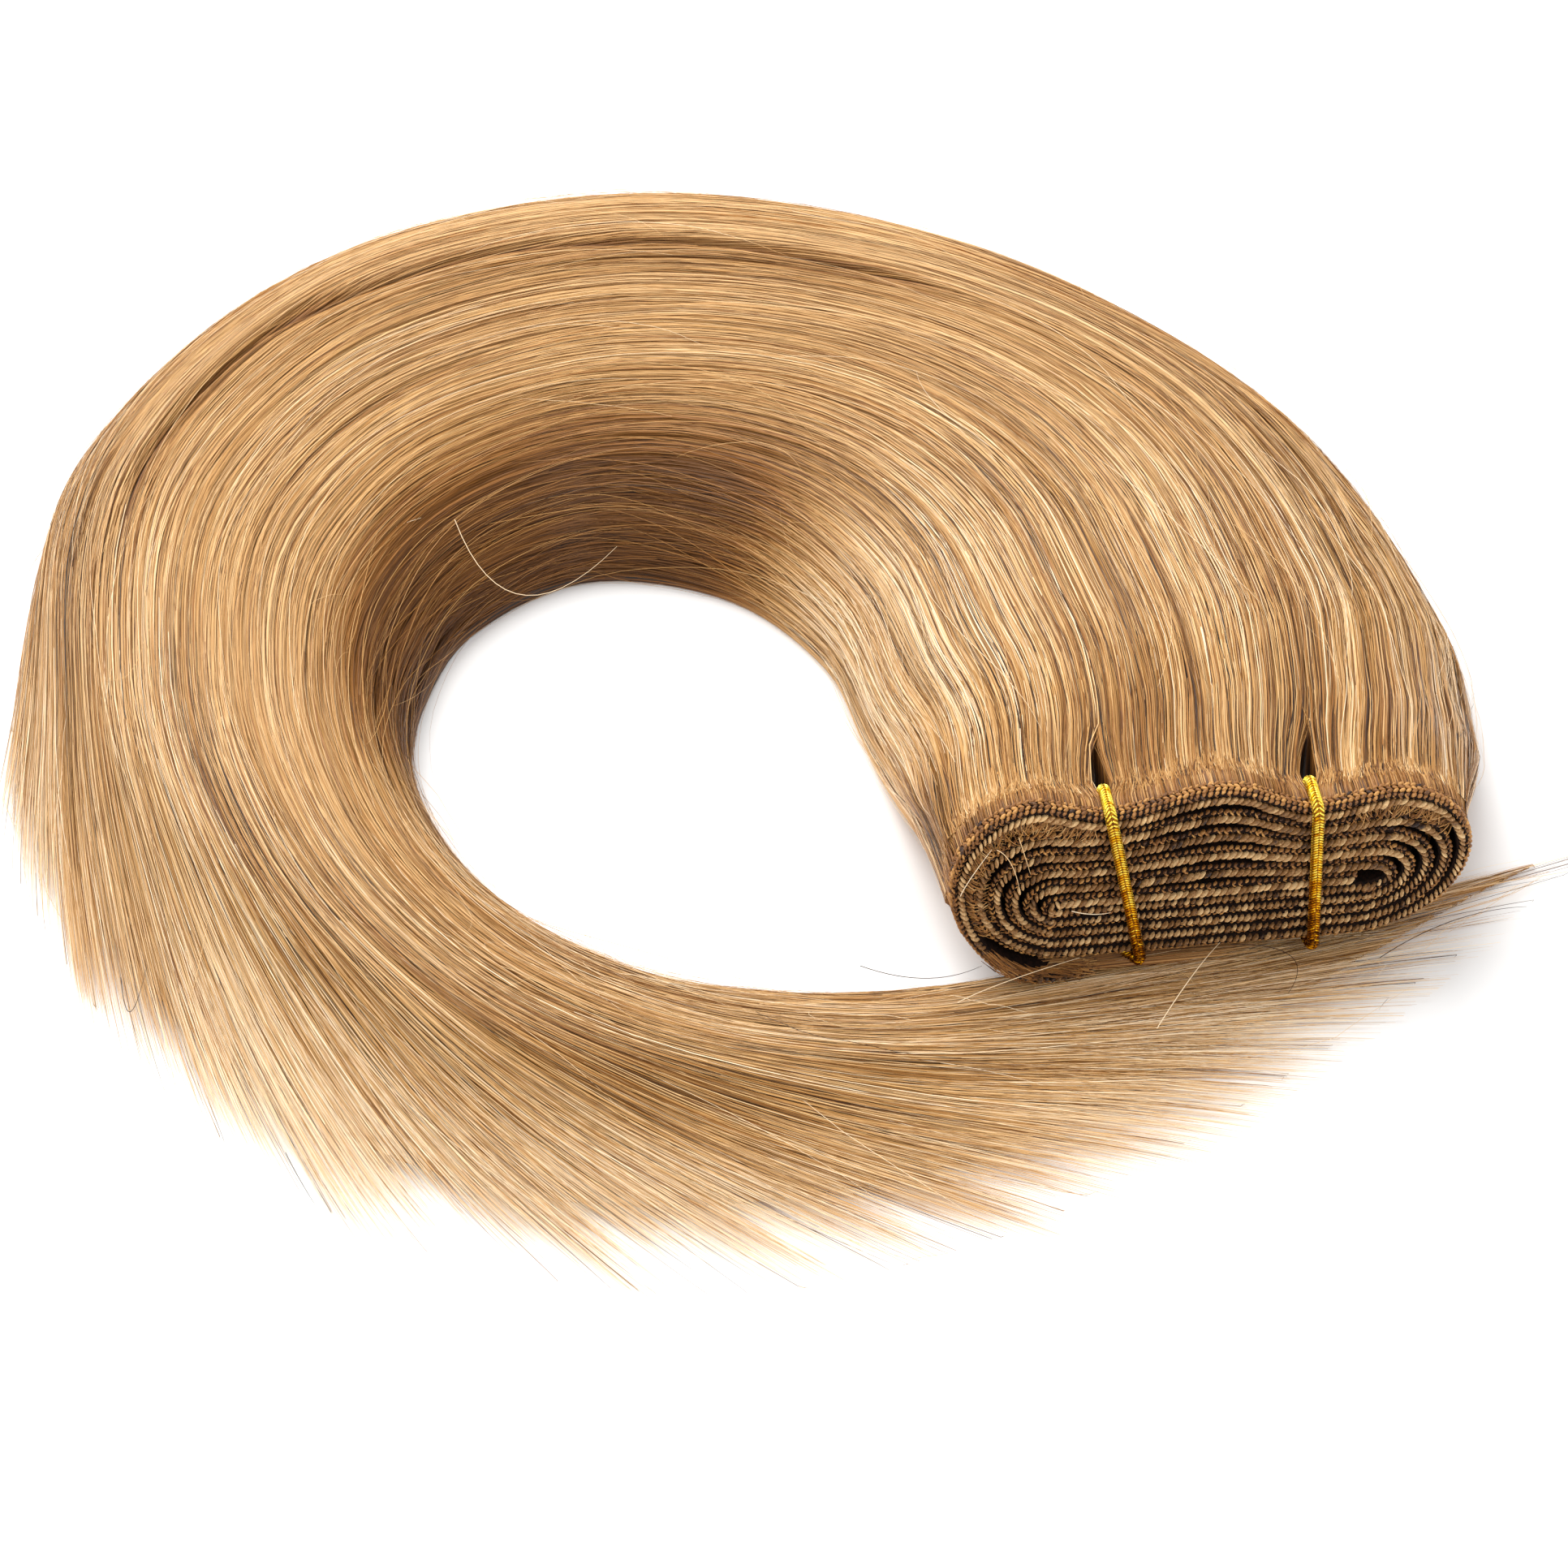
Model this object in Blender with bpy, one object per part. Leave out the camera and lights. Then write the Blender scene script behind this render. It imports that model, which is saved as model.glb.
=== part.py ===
"""A human hair weft extension, lying coiled on a surface.

A long machine weft is folded double and rolled up flat, and two elastic ties hold the roll. The
hair grows out of the roll's back, sweeps once round an open hole and ends in a fan of loose tips
that passes under the roll. Lengths are in metres, +Z is up and the surface is at Z = 0.
"""

import math
from collections import namedtuple

import bmesh
import bpy
import numpy as np

# The loop of hair, seen from above: radii are from the middle of the hole.
HOLE_RADIUS = 0.050
LOOP_RADIUS = 0.150
HAIR_HEIGHT = 0.031
HAIR_EDGE = 0.0015
INNER_LENGTH = 0.440
OUTER_LENGTH = 0.500
MIDDLE_EXTRA = 0.022

# The loose tips spread outwards and get thinner over their last stretch, where the locks part:
# the outermost spread by a share of the reach, each lock narrows by a share of its width, and the
# thinning ends at a share of the hair's length.
SPLAY_LENGTH = 0.060
SPLAY_REACH = 0.016
OUTER_SPLAY = 0.3
TAPER_LENGTH = 0.095
TIP_THICKNESS = 0.0012
TIP_SPLIT = 0.018
TIP_NARROWING = 0.55
TAPER_END = 1.03

# The rolled weft: its front face stands upright, ahead and to the right of the hole.
ROLL_RIGHT = 0.0926
ROLL_AHEAD = 0.047
ROLL_TURN = math.radians(7)
ROLL_WIDTH = 0.087
ROLL_HEIGHT = 0.034
ROLL_FLOOR = 0.006
ROLL_DEPTH = 0.0055
TOP_LAYER = 0.0025
BOTTOM_LAYER = 0.00175
LAYER_GAP = 0.0005
ROPE_GROOVE = 0.0007

# The elastic ties, and the notches that they pull into the hair behind the roll.
TIE_THICKNESS = 0.002
NOTCH_LENGTH = 0.015
NOTCH_WIDTH = 0.007
LOCK_GROOVE = 0.0011
CLEARANCE = 0.0003
WRAPS = 5

# A valley that runs along the hair inside its outer rim: its depth, its place and half width as
# shares of the way across, and the sections between which it deepens and fades out again.
RIM_GROOVE = 0.0032
RIM_PLACE = 0.86
RIM_HALF_WIDTH = 0.035
RIM_START = (2.5, 4.0)
RIM_END = (7.0, 9.0)

# The hair's outline where it leaves the roll: how much of its height is lost at the sides, and
# the powers that say how squarely it is lost. The arch over the hair further on has two powers.
ROOT_TOP_DROP = 0.85
ROOT_TOP_POWER = 5
ROOT_UNDER_DROP = 0.80
ROOT_UNDER_POWER = 4
INNER_ARCH_POWER = 2.4
OUTER_ARCH_POWER = 2.8

# The sections over which the hair's top and underside change from the roll's outline to their own.
TOP_SETTLES = 1.6
UNDER_SETTLES = 1.9

# Steps of the meshes.
COLUMNS_PER_LOCK = 2
BODY_ROWS = 26
CURL_STEPS = 6
TOP_STEPS = 12
LAST_TOP_STEPS = 8
TIE_STEPS = 5

# Sections across the hair. Turns are in degrees round the hole from +X, inner radii are shares of
# HOLE_RADIUS, outer radii of LOOP_RADIUS and crests of HAIR_HEIGHT. The crest's place is its share
# of the way from the inner edge to the outer one. Past 206 degrees the outer radius is where the
# longest strands would run.
Section = namedtuple("Section", "inner_turn inner outer_turn outer crest crest_place")
SECTIONS = (
    Section(-20, 0.90, -2, 0.945, 1.00, 0.50),
    Section(18, 0.75, 13, 0.960, 1.00, 0.48),
    Section(48, 0.86, 38, 0.985, 1.00, 0.50),
    Section(77, 1.03, 66, 1.025, 0.97, 0.52),
    Section(104, 1.14, 92, 1.065, 0.94, 0.52),
    Section(130, 1.06, 117, 1.035, 0.90, 0.48),
    Section(155, 0.93, 145, 0.900, 0.85, 0.42),
    Section(180, 0.86, 177, 0.742, 0.78, 0.40),
    Section(205, 0.83, 206, 0.715, 0.68, 0.40),
    Section(229, 0.86, 232, 0.760, 0.56, 0.40),
    Section(253, 0.93, 256, 0.845, 0.42, 0.40),
    Section(276, 1.05, 280, 0.950, 0.29, 0.40),
    Section(300, 1.26, 300, 1.070, 0.18, 0.40),
    Section(320, 1.56, 318, 1.200, 0.11, 0.40),
    Section(338, 2.12, 335, 1.360, 0.10, 0.40),
    Section(351, 2.95, 350, 1.560, 0.10, 0.40),
    Section(359, 3.80, 360, 1.800, 0.10, 0.40),
)

# Levels of the weft's top layers along the roll. Places are shares of half the roll's width from
# its middle, and levels are shares of ROLL_HEIGHT above the innermost layer: the outermost layer
# is puffed up between the ties, and the next one lies under it.
Level = namedtuple("Level", "place outermost next_under")
LEVELS = (
    Level(-0.73, 0.590, 0.425),
    Level(-0.41, 0.492, 0.395),
    Level(0.03, 0.600, 0.480),
    Level(0.38, 0.436, 0.348),
    Level(0.73, 0.500, 0.376),
)
INNERMOST_LEVEL = 0.37
WIDEST_LEVEL = 0.50

# How far the roll's round ends reach in from its widest point, as shares of ROLL_WIDTH: over the
# outermost layer's top, under its bottom, and at the innermost turn.
TOP_CURL = 0.150
UNDER_CURL = 0.215
EYE_CURL = 0.025

# The weft's inner end in the roll's right eye, and its outer end, which is tucked under the roll's
# left part past a corner: places as shares of half the roll's width from its middle.
EYE_END = 0.56
TAIL_END = -0.45
TAIL_CORNER = -0.63

# The tail's corner stands this far forward of the roll's face, and the weft goes back to the face
# within this share of ROLL_WIDTH.
TAIL_FORWARD = 0.003
TAIL_REACH = 0.2

# Each tie's places across the roll, as shares of half its width from the middle.
Tie = namedtuple("Tie", "name top bottom")
TIES = (
    Tie("tie_left", -0.41, -0.26),
    Tie("tie_right", 0.38, 0.41),
)

# The locks of hair from the inner edge to the outer one: how much longer or shorter each is, and
# how much higher or lower it lies, as shares of the hair's length and height.
Lock = namedtuple("Lock", "longer higher")
LOCKS = (
    Lock(-0.015, 0.00),
    Lock(-0.020, 0.02),
    Lock(0.015, -0.02),
    Lock(-0.010, 0.03),
    Lock(0.020, 0.00),
    Lock(-0.020, -0.03),
    Lock(0.010, 0.02),
    Lock(0.022, 0.00),
    Lock(-0.015, 0.03),
    Lock(0.008, -0.02),
    Lock(-0.022, 0.01),
    Lock(0.012, 0.03),
    Lock(0.020, -0.02),
    Lock(-0.018, 0.00),
    Lock(0.010, 0.02),
    Lock(-0.015, -0.02),
    Lock(0.018, 0.03),
    Lock(-0.020, 0.00),
    Lock(0.008, -0.02),
    Lock(-0.010, 0.00),
)
LOCKS_BEFORE_TIES = (6, 14)

HAIR_COLOUR = (0.52, 0.33, 0.15, 1.0)
WEFT_COLOUR = (0.22, 0.12, 0.05, 1.0)
GOLD_COLOUR = (0.80, 0.50, 0.08, 1.0)


def smooth(share):
    share = np.clip(share, 0.0, 1.0)
    return share * share * (3.0 - 2.0 * share)


def eased(places, values, at):
    """The value at a place in a table, easing in and out between its rows."""
    row = int(np.clip(np.searchsorted(places, at) - 1, 0, len(places) - 2))
    share = (at - places[row]) / (places[row + 1] - places[row])
    return values[row] + (values[row + 1] - values[row]) * float(smooth(share))


def roll_point(across, back, up):
    """A point given by its place in the roll: to the right, behind its front face, and up."""
    x = ROLL_RIGHT + across * math.cos(ROLL_TURN) - back * math.sin(ROLL_TURN)
    y = -ROLL_AHEAD + across * math.sin(ROLL_TURN) + back * math.cos(ROLL_TURN)
    return (x, y, up)


# The flow of the hair, seen from above

ROOT_BACK = ROLL_DEPTH + CLEARANCE
FLOW_STEPS = 600


def edge_line(side):
    """One edge of the hair from the roll round the loop, with a point before and one after."""
    root = np.array(roll_point(side * ROLL_WIDTH / 2, ROOT_BACK, 0.0)[:2])
    before = np.array(roll_point(side * ROLL_WIDTH / 2, ROOT_BACK - ROLL_HEIGHT, 0.0)[:2])
    points = [before, root]
    for row in SECTIONS:
        turn = math.radians(row.inner_turn if side < 0 else row.outer_turn)
        radius = HOLE_RADIUS * row.inner if side < 0 else LOOP_RADIUS * row.outer
        points.append(np.array((radius * math.cos(turn), radius * math.sin(turn))))
    points.append(2 * points[-1] - points[-2])
    return np.array(points)


def through(points, at):
    """A smooth curve through all points but the first and last."""
    at = np.clip(at, 0.0, len(points) - 3 - 1e-9)
    row = np.floor(at).astype(int)
    t = (at - row)[:, None]
    p0, p1, p2, p3 = (points[row + k] for k in range(4))
    square = 2 * p0 - 5 * p1 + 4 * p2 - p3
    cube = 3 * p1 - p0 - 3 * p2 + p3
    return 0.5 * (2 * p1 + (p2 - p0) * t + square * t**2 + cube * t**3)


def hair_length(u):
    """The length of the strands at a share u of the way across, from inner edge to outer edge."""
    return INNER_LENGTH + (OUTER_LENGTH - INNER_LENGTH) * u + MIDDLE_EXTRA * 4 * u * (1 - u)


def strand_place(u, along):
    """Plan point of strand u at a distance along it, and its place in the table of sections."""
    at = np.linspace(0.0, len(SECTIONS), FLOW_STEPS)
    line = through(edge_line(-1), at) * (1 - u) + through(edge_line(1), at) * u
    run = np.concatenate(([0.0], np.cumsum(np.linalg.norm(np.diff(line, axis=0), axis=1))))
    x = np.interp(along, run, line[:, 0])
    y = np.interp(along, run, line[:, 1])
    ahead = np.interp(along + SPLAY_LENGTH / 20, run, line[:, 0]) - x
    aside = np.interp(along + SPLAY_LENGTH / 20, run, line[:, 1]) - y
    past = max(0.0, along - hair_length(u) + SPLAY_LENGTH) / SPLAY_LENGTH
    held = min(1.0, 2 * u) * (1 - (1 - OUTER_SPLAY) * float(smooth(2 * u - 1)))
    spread = SPLAY_REACH * held * past**2 / math.hypot(ahead, aside)
    return x + aside * spread, y - ahead * spread, float(np.interp(along, run, at))


# The height of the hair

def roll_level(place, column):
    """Height of a top layer's middle at a place along the roll."""
    places = [row.place for row in LEVELS]
    share = INNERMOST_LEVEL + eased(places, [row[column] for row in LEVELS], place)
    return ROLL_FLOOR + ROLL_HEIGHT * share


def root_heights(u):
    """Top and underside of the hair where it leaves the roll, following the roll's outline."""
    place = 2 * u - 1
    widest = ROLL_FLOOR + ROLL_HEIGHT * WIDEST_LEVEL
    round_top = math.sqrt(1 - ROOT_TOP_DROP * abs(place) ** ROOT_TOP_POWER)
    round_under = math.sqrt(1 - ROOT_UNDER_DROP * abs(place) ** ROOT_UNDER_POWER)
    top = widest + (roll_level(place, 1) + TOP_LAYER / 2 - widest) * round_top
    under = widest - (widest - ROLL_FLOOR) * round_under
    return top, under


def crest_shape(u, crest_place):
    """The arch of the hair's top across its width, from 0 at the edges to 1 at the crest."""
    if u < crest_place:
        lost = ((crest_place - u) / crest_place) ** INNER_ARCH_POWER
    else:
        lost = ((u - crest_place) / (1 - crest_place)) ** OUTER_ARCH_POWER
    return math.sqrt(max(0.0, 1 - lost))


def hair_heights(u, at):
    """Top and underside of the hair at strand u and a place in the table of sections."""
    rows = np.arange(len(SECTIONS) + 1)
    crests = [SECTIONS[0].crest] + [row.crest for row in SECTIONS]
    crest_places = [SECTIONS[0].crest_place] + [row.crest_place for row in SECTIONS]
    crest = HAIR_HEIGHT * float(np.interp(at, rows, crests))
    crest_place = float(np.interp(at, rows, crest_places))
    top = HAIR_EDGE + (crest - HAIR_EDGE) * crest_shape(u, crest_place)
    deepening = float(smooth((at - RIM_START[0]) / (RIM_START[1] - RIM_START[0])))
    fading = float(smooth((RIM_END[1] - at) / (RIM_END[1] - RIM_END[0])))
    top -= RIM_GROOVE * deepening * fading * math.exp(-(((u - RIM_PLACE) / RIM_HALF_WIDTH) ** 2))
    root_top, root_under = root_heights(u)
    settled = float(smooth(at / TOP_SETTLES))
    lowered = float(smooth(at / UNDER_SETTLES))
    return root_top + (top - root_top) * settled, root_under * (1 - lowered)


# The hair

def lock_edges():
    """The shares across the hair at which its locks meet: two of them are at the ties."""
    tie_places = [(tie.top + 1) / 2 for tie in TIES]
    first, last = LOCKS_BEFORE_TIES
    return np.concatenate((
        np.linspace(0.0, tie_places[0], first + 1),
        np.linspace(tie_places[0], tie_places[1], last - first + 1)[1:],
        np.linspace(tie_places[1], 1.0, len(LOCKS) - last + 1)[1:],
    ))


NOTCH_ROWS = 3
TIP_ROWS = (0.3, 0.6, 0.85, 1.0)
SPLIT_ROW = NOTCH_ROWS + BODY_ROWS
LAST_ROW = SPLIT_ROW + len(TIP_ROWS)


def is_shared(row, edge):
    """Whether the locks on both sides of an edge are joined at a row."""
    if edge in (0, len(LOCKS)):
        return False
    first = NOTCH_ROWS if edge in LOCKS_BEFORE_TIES else 0
    return first <= row <= SPLIT_ROW


def hair_corner(edges, row, lock, column):
    """Plan point, top and underside of one corner of the hair's mesh."""
    share = column / COLUMNS_PER_LOCK
    u = edges[lock] + (edges[lock + 1] - edges[lock]) * share
    if row < NOTCH_ROWS:
        open_share = (1 - row / NOTCH_ROWS) * NOTCH_WIDTH / 2 / ROLL_WIDTH
        if lock in LOCKS_BEFORE_TIES:
            u += open_share * (1 - share)
        if lock + 1 in LOCKS_BEFORE_TIES:
            u -= open_share * share
    split = hair_length(u) - TIP_SPLIT
    longer = 0.0
    if row <= NOTCH_ROWS:
        along = NOTCH_LENGTH * row / NOTCH_ROWS
    elif row <= SPLIT_ROW:
        along = NOTCH_LENGTH + (split - NOTCH_LENGTH) * (row - NOTCH_ROWS) / BODY_ROWS
    else:
        longer = TIP_ROWS[row - SPLIT_ROW - 1]
        middle = (edges[lock] + edges[lock + 1]) / 2
        u = middle + (u - middle) * (1 - TIP_NARROWING * longer**2)
        end = hair_length(middle) * (1 + LOCKS[lock].longer)
        split = hair_length(u) - TIP_SPLIT
        along = split + (end - split) * longer
    x, y, at = strand_place(u, along)
    top, under = hair_heights(u, at)
    left_over = float(smooth((hair_length(u) * TAPER_END - along) / TAPER_LENGTH))
    top = under + TIP_THICKNESS + (top - under - TIP_THICKNESS) * left_over
    inside = 1 - abs(2 * share - 1)
    settled = float(smooth(at))
    thick = top - under
    top += settled * HAIR_HEIGHT * LOCKS[lock].higher * inside * (thick / HAIR_HEIGHT)
    top -= min(LOCK_GROOVE, thick / 6) * (1 - min(1.0, 2 * inside)) * settled
    return x, y, max(top, under + TIP_THICKNESS), under


def make_hair():
    edges = lock_edges()
    mesh = bmesh.new()
    corners = {}

    def corner(row, lock, column):
        if column == COLUMNS_PER_LOCK and is_shared(row, lock + 1):
            lock, column = lock + 1, 0
        key = (row, lock, column)
        if key not in corners:
            x, y, top, under = hair_corner(edges, row, lock, column)
            corners[key] = (mesh.verts.new((x, y, top)), mesh.verts.new((x, y, under)))
        return corners[key]

    def wall(first, second):
        mesh.faces.new((first[1], first[0], second[0], second[1]))

    for lock in range(len(LOCKS)):
        for row in range(LAST_ROW):
            for column in range(COLUMNS_PER_LOCK):
                a = corner(row, lock, column)
                b = corner(row, lock, column + 1)
                c = corner(row + 1, lock, column + 1)
                d = corner(row + 1, lock, column)
                mesh.faces.new((a[0], b[0], c[0], d[0]))
                mesh.faces.new((d[1], c[1], b[1], a[1]))
                if row == 0:
                    wall(a, b)
                if row == LAST_ROW - 1:
                    wall(c, d)
            if not (is_shared(row, lock) and is_shared(row + 1, lock)):
                wall(corner(row + 1, lock, 0), corner(row, lock, 0))
            if not (is_shared(row, lock + 1) and is_shared(row + 1, lock + 1)):
                wall(corner(row, lock, COLUMNS_PER_LOCK), corner(row + 1, lock, COLUMNS_PER_LOCK))
    return object_from(mesh, "hair_fall", material("blonde_hair", HAIR_COLOUR, 0.45, 0.0))


# The rolled weft

def curl(start, widest, end):
    """Half a turn at one end of the roll, from start past the widest point to end."""
    points = []
    for step in range(1, 2 * CURL_STEPS):
        angle = math.pi / 2 * step / CURL_STEPS
        corner = start if step <= CURL_STEPS else end
        x = corner[0] + (widest[0] - corner[0]) * math.sin(angle)
        z = widest[1] + (corner[1] - widest[1]) * abs(math.cos(angle))
        points.append((x, z))
    return points


def top_run(wrap, left, right, steps):
    """A top layer from left to right: the outermost one is puffed, and the others even out."""
    innermost = ROLL_FLOOR + ROLL_HEIGHT * INNERMOST_LEVEL
    points = []
    for step in range(steps + 1):
        x = left + (right - left) * step / steps
        place = 2 * x / ROLL_WIDTH
        z = roll_level(place, 1)
        if wrap > 0:
            share = (WRAPS - wrap) / (WRAPS - 1)
            z = innermost + (roll_level(place, 2) - innermost) * share
        points.append((x, z))
    return points


def weft_route():
    """The middle line of the weft in the roll's face, from its outer end to its inner end, and
    its thickness at each point."""
    half = ROLL_WIDTH / 2
    innermost = ROLL_FLOOR + ROLL_HEIGHT * INNERMOST_LEVEL
    lowest = ROLL_FLOOR + BOTTOM_LAYER / 2
    bottom_pitch = (innermost - (TOP_LAYER + BOTTOM_LAYER) / 2 - CLEARANCE - lowest) / (WRAPS - 1)
    eye = innermost - (TOP_LAYER + BOTTOM_LAYER + CLEARANCE) / 4
    widest_height = ROLL_FLOOR + ROLL_HEIGHT * WIDEST_LEVEL
    inset = TOP_LAYER + LAYER_GAP
    tail = (half * TAIL_CORNER, ROLL_FLOOR / 2 + BOTTOM_LAYER / 2)
    points = [(half * TAIL_END, tail[1]), ((half * TAIL_END + tail[0]) / 2, tail[1]), tail]
    thick = [BOTTOM_LAYER] * 3
    for wrap in range(WRAPS + 1):
        share = wrap / WRAPS
        reach = half - TOP_LAYER / 2 - inset * wrap
        height = widest_height + (eye - widest_height) * share
        flat_top = reach - ROLL_WIDTH * (TOP_CURL + (EYE_CURL - TOP_CURL) * share)
        under_curl = ROLL_WIDTH * (UNDER_CURL + (EYE_CURL - UNDER_CURL) * share)
        last = wrap == WRAPS
        top_end = half * EYE_END if last else flat_top
        top = top_run(wrap, -flat_top, top_end, LAST_TOP_STEPS if last else TOP_STEPS)
        if wrap > 0:
            below = (-(reach - under_curl), points[-1][1])
            points.append(below)
            thick.append(BOTTOM_LAYER)
        left = curl(points[-1], (-reach, height), top[0])
        points += left + top
        thick += list(np.linspace(BOTTOM_LAYER, TOP_LAYER, len(left))) + [TOP_LAYER] * len(top)
        if last:
            break
        bottom = lowest + bottom_pitch * wrap
        flat_under = reach - under_curl
        right = curl(top[-1], (reach, height), (flat_under, bottom))
        points += right + [(flat_under, bottom), (0.0, bottom)]
        thick += list(np.linspace(TOP_LAYER, BOTTOM_LAYER, len(right))) + [BOTTOM_LAYER] * 2
    return points, thick


# The weft's cross-section: shares of its thickness either side of its middle, and depths behind
# the roll's face. The two rope-like edges of the doubled weft stand at the front.
WEFT_PROFILE = (
    (-0.50, ROPE_GROOVE),
    (-0.28, 0.0),
    (0.0, ROPE_GROOVE),
    (0.28, 0.0),
    (0.50, ROPE_GROOVE),
    (0.50, ROLL_DEPTH),
    (-0.50, ROLL_DEPTH),
)


def make_weft():
    points, thick = weft_route()
    route = np.array(points)
    ahead = np.gradient(route, axis=0)
    ahead /= np.linalg.norm(ahead, axis=1)[:, None]
    corner = np.array((ROLL_WIDTH / 2 * TAIL_CORNER, 0.0))
    mesh = bmesh.new()
    rings = []
    for (x, z), (run, rise), thickness in zip(route, ahead, thick):
        near_tail = z < ROLL_FLOOR or (x < corner[0] and len(rings) < CURL_STEPS + 3)
        away = math.hypot(x - corner[0], z - ROLL_FLOOR / 2) / (ROLL_WIDTH * TAIL_REACH)
        forward = TAIL_FORWARD * (1 - float(smooth(away))) if near_tail else 0.0
        ring = []
        for share, back in WEFT_PROFILE:
            across = x - rise * share * thickness
            up = z + run * share * thickness
            ring.append(mesh.verts.new(roll_point(across, back - forward, up)))
        rings.append(ring)
    for first, second in zip(rings, rings[1:]):
        for side in range(len(WEFT_PROFILE)):
            after = (side + 1) % len(WEFT_PROFILE)
            mesh.faces.new((first[side], first[after], second[after], second[side]))
    mesh.faces.new(reversed(rings[0]))
    mesh.faces.new(rings[-1])
    return object_from(mesh, "weft_band", material("stitched_weft", WEFT_COLOUR, 0.75, 0.0))


# The ties

def tie_route(tie):
    """A closed line round the roll: down its face, under it, up behind it and over the top."""
    reach = CLEARANCE + TIE_THICKNESS / 2
    high = roll_level(tie.top, 1) + TOP_LAYER / 2 + reach
    low = ROLL_FLOOR - reach
    corners = (
        (tie.top, -reach, high),
        (tie.bottom, -reach, low),
        (tie.top, ROLL_DEPTH + reach, low),
        (tie.top, ROLL_DEPTH + reach, high),
    )
    half = ROLL_WIDTH / 2
    points = [np.array((place * half, back, up)) for place, back, up in corners]
    route = []
    for index, here in enumerate(points):
        to_last = points[index - 1] - here
        to_next = points[(index + 1) % len(points)] - here
        start = here + to_last * (TIE_THICKNESS / np.linalg.norm(to_last))
        end = here + to_next * (TIE_THICKNESS / np.linalg.norm(to_next))
        for step in range(TIE_STEPS + 1):
            t = step / TIE_STEPS
            route.append(start * (1 - t) ** 2 + here * 2 * t * (1 - t) + end * t**2)
        route.append((here + points[(index + 1) % len(points)]) / 2)
    return [roll_point(*point) for point in route]


def make_tie(tie):
    curve = bpy.data.curves.new(tie.name, "CURVE")
    curve.dimensions = "3D"
    curve.bevel_depth = TIE_THICKNESS / 2
    curve.bevel_resolution = 2
    route = tie_route(tie)
    spline = curve.splines.new("POLY")
    spline.points.add(len(route) - 1)
    for point, place in zip(spline.points, route):
        point.co = (*place, 1.0)
    spline.use_cyclic_u = True
    tie_object = bpy.data.objects.new(tie.name, curve)
    curve.materials.append(material("gold_elastic", GOLD_COLOUR, 0.3, 1.0))
    return tie_object


# Materials, meshes and the scene

def material(name, colour, roughness, metallic):
    found = bpy.data.materials.get(name)
    if found:
        return found
    made = bpy.data.materials.new(name)
    made.use_nodes = True
    shader = made.node_tree.nodes["Principled BSDF"]
    shader.inputs["Base Color"].default_value = colour
    shader.inputs["Roughness"].default_value = roughness
    shader.inputs["Metallic"].default_value = metallic
    return made


def object_from(mesh, name, surface):
    bmesh.ops.recalc_face_normals(mesh, faces=mesh.faces)
    data = bpy.data.meshes.new(name)
    mesh.to_mesh(data)
    mesh.free()
    data.shade_smooth()
    data.set_sharp_from_angle(angle=math.radians(40))
    data.materials.append(surface)
    return bpy.data.objects.new(name, data)


def clear_scene():
    for old in list(bpy.data.objects):
        bpy.data.objects.remove(old, do_unlink=True)


def main():
    clear_scene()
    hair = make_hair()
    pieces = [hair, make_weft()] + [make_tie(tie) for tie in TIES]
    places = np.array([vertex.co for vertex in hair.data.vertices])
    middle = (places.min(axis=0) + places.max(axis=0)) / 2
    collection = bpy.data.collections.new("hair_weft_extension")
    bpy.context.scene.collection.children.link(collection)
    for piece in pieces:
        # The hair is the widest piece, so the origin lies under the middle of the whole object.
        piece.location = (-middle[0], -middle[1], 0.0)
        collection.objects.link(piece)


main()
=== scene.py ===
"""Looks of a human hair weft extension, lying coiled on a pale surface.

Blonde hair leaves a rolled, machine-stitched weft, sweeps round an open hole and ends in a fan
of wispy tips. Lengths are in metres, +Z is up and the surface is at Z = 0.

A place on the hair is given by w, its share of the way from the inner edge over the top to the
outer edge, and s, its share of the hair's length. A tint goes from 0, dark brown, to 1, cream.
"""

import math
from collections import namedtuple

import bpy
import numpy as np
from bpy.props import FloatProperty, FloatVectorProperty, IntProperty, PointerProperty
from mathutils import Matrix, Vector


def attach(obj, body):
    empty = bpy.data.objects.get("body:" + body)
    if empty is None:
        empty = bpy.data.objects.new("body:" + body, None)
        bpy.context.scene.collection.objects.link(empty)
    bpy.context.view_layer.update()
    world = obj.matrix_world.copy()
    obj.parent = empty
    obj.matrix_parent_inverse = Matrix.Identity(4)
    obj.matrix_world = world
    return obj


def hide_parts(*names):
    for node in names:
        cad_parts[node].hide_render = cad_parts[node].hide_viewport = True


bl_info = {
    "name": "Hair weft extension",
    "version": (1, 0, 0),
    "blender": (4, 5, 0),
    "location": "View3D > Sidebar > Hair weft",
    "description": "Builds the hair, the stitched weft, the braided ties and the stage",
    "category": "Object",
}

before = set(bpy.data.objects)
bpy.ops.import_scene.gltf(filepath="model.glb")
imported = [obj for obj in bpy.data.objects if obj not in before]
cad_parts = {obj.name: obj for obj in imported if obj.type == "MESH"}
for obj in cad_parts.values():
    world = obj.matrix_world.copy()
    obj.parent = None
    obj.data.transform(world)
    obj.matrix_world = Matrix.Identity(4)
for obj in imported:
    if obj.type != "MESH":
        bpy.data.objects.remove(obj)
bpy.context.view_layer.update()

# The middle of the hair's open hole, in the part's frame.
HOLE_X = -0.02003
HOLE_Y = -0.02121

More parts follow.
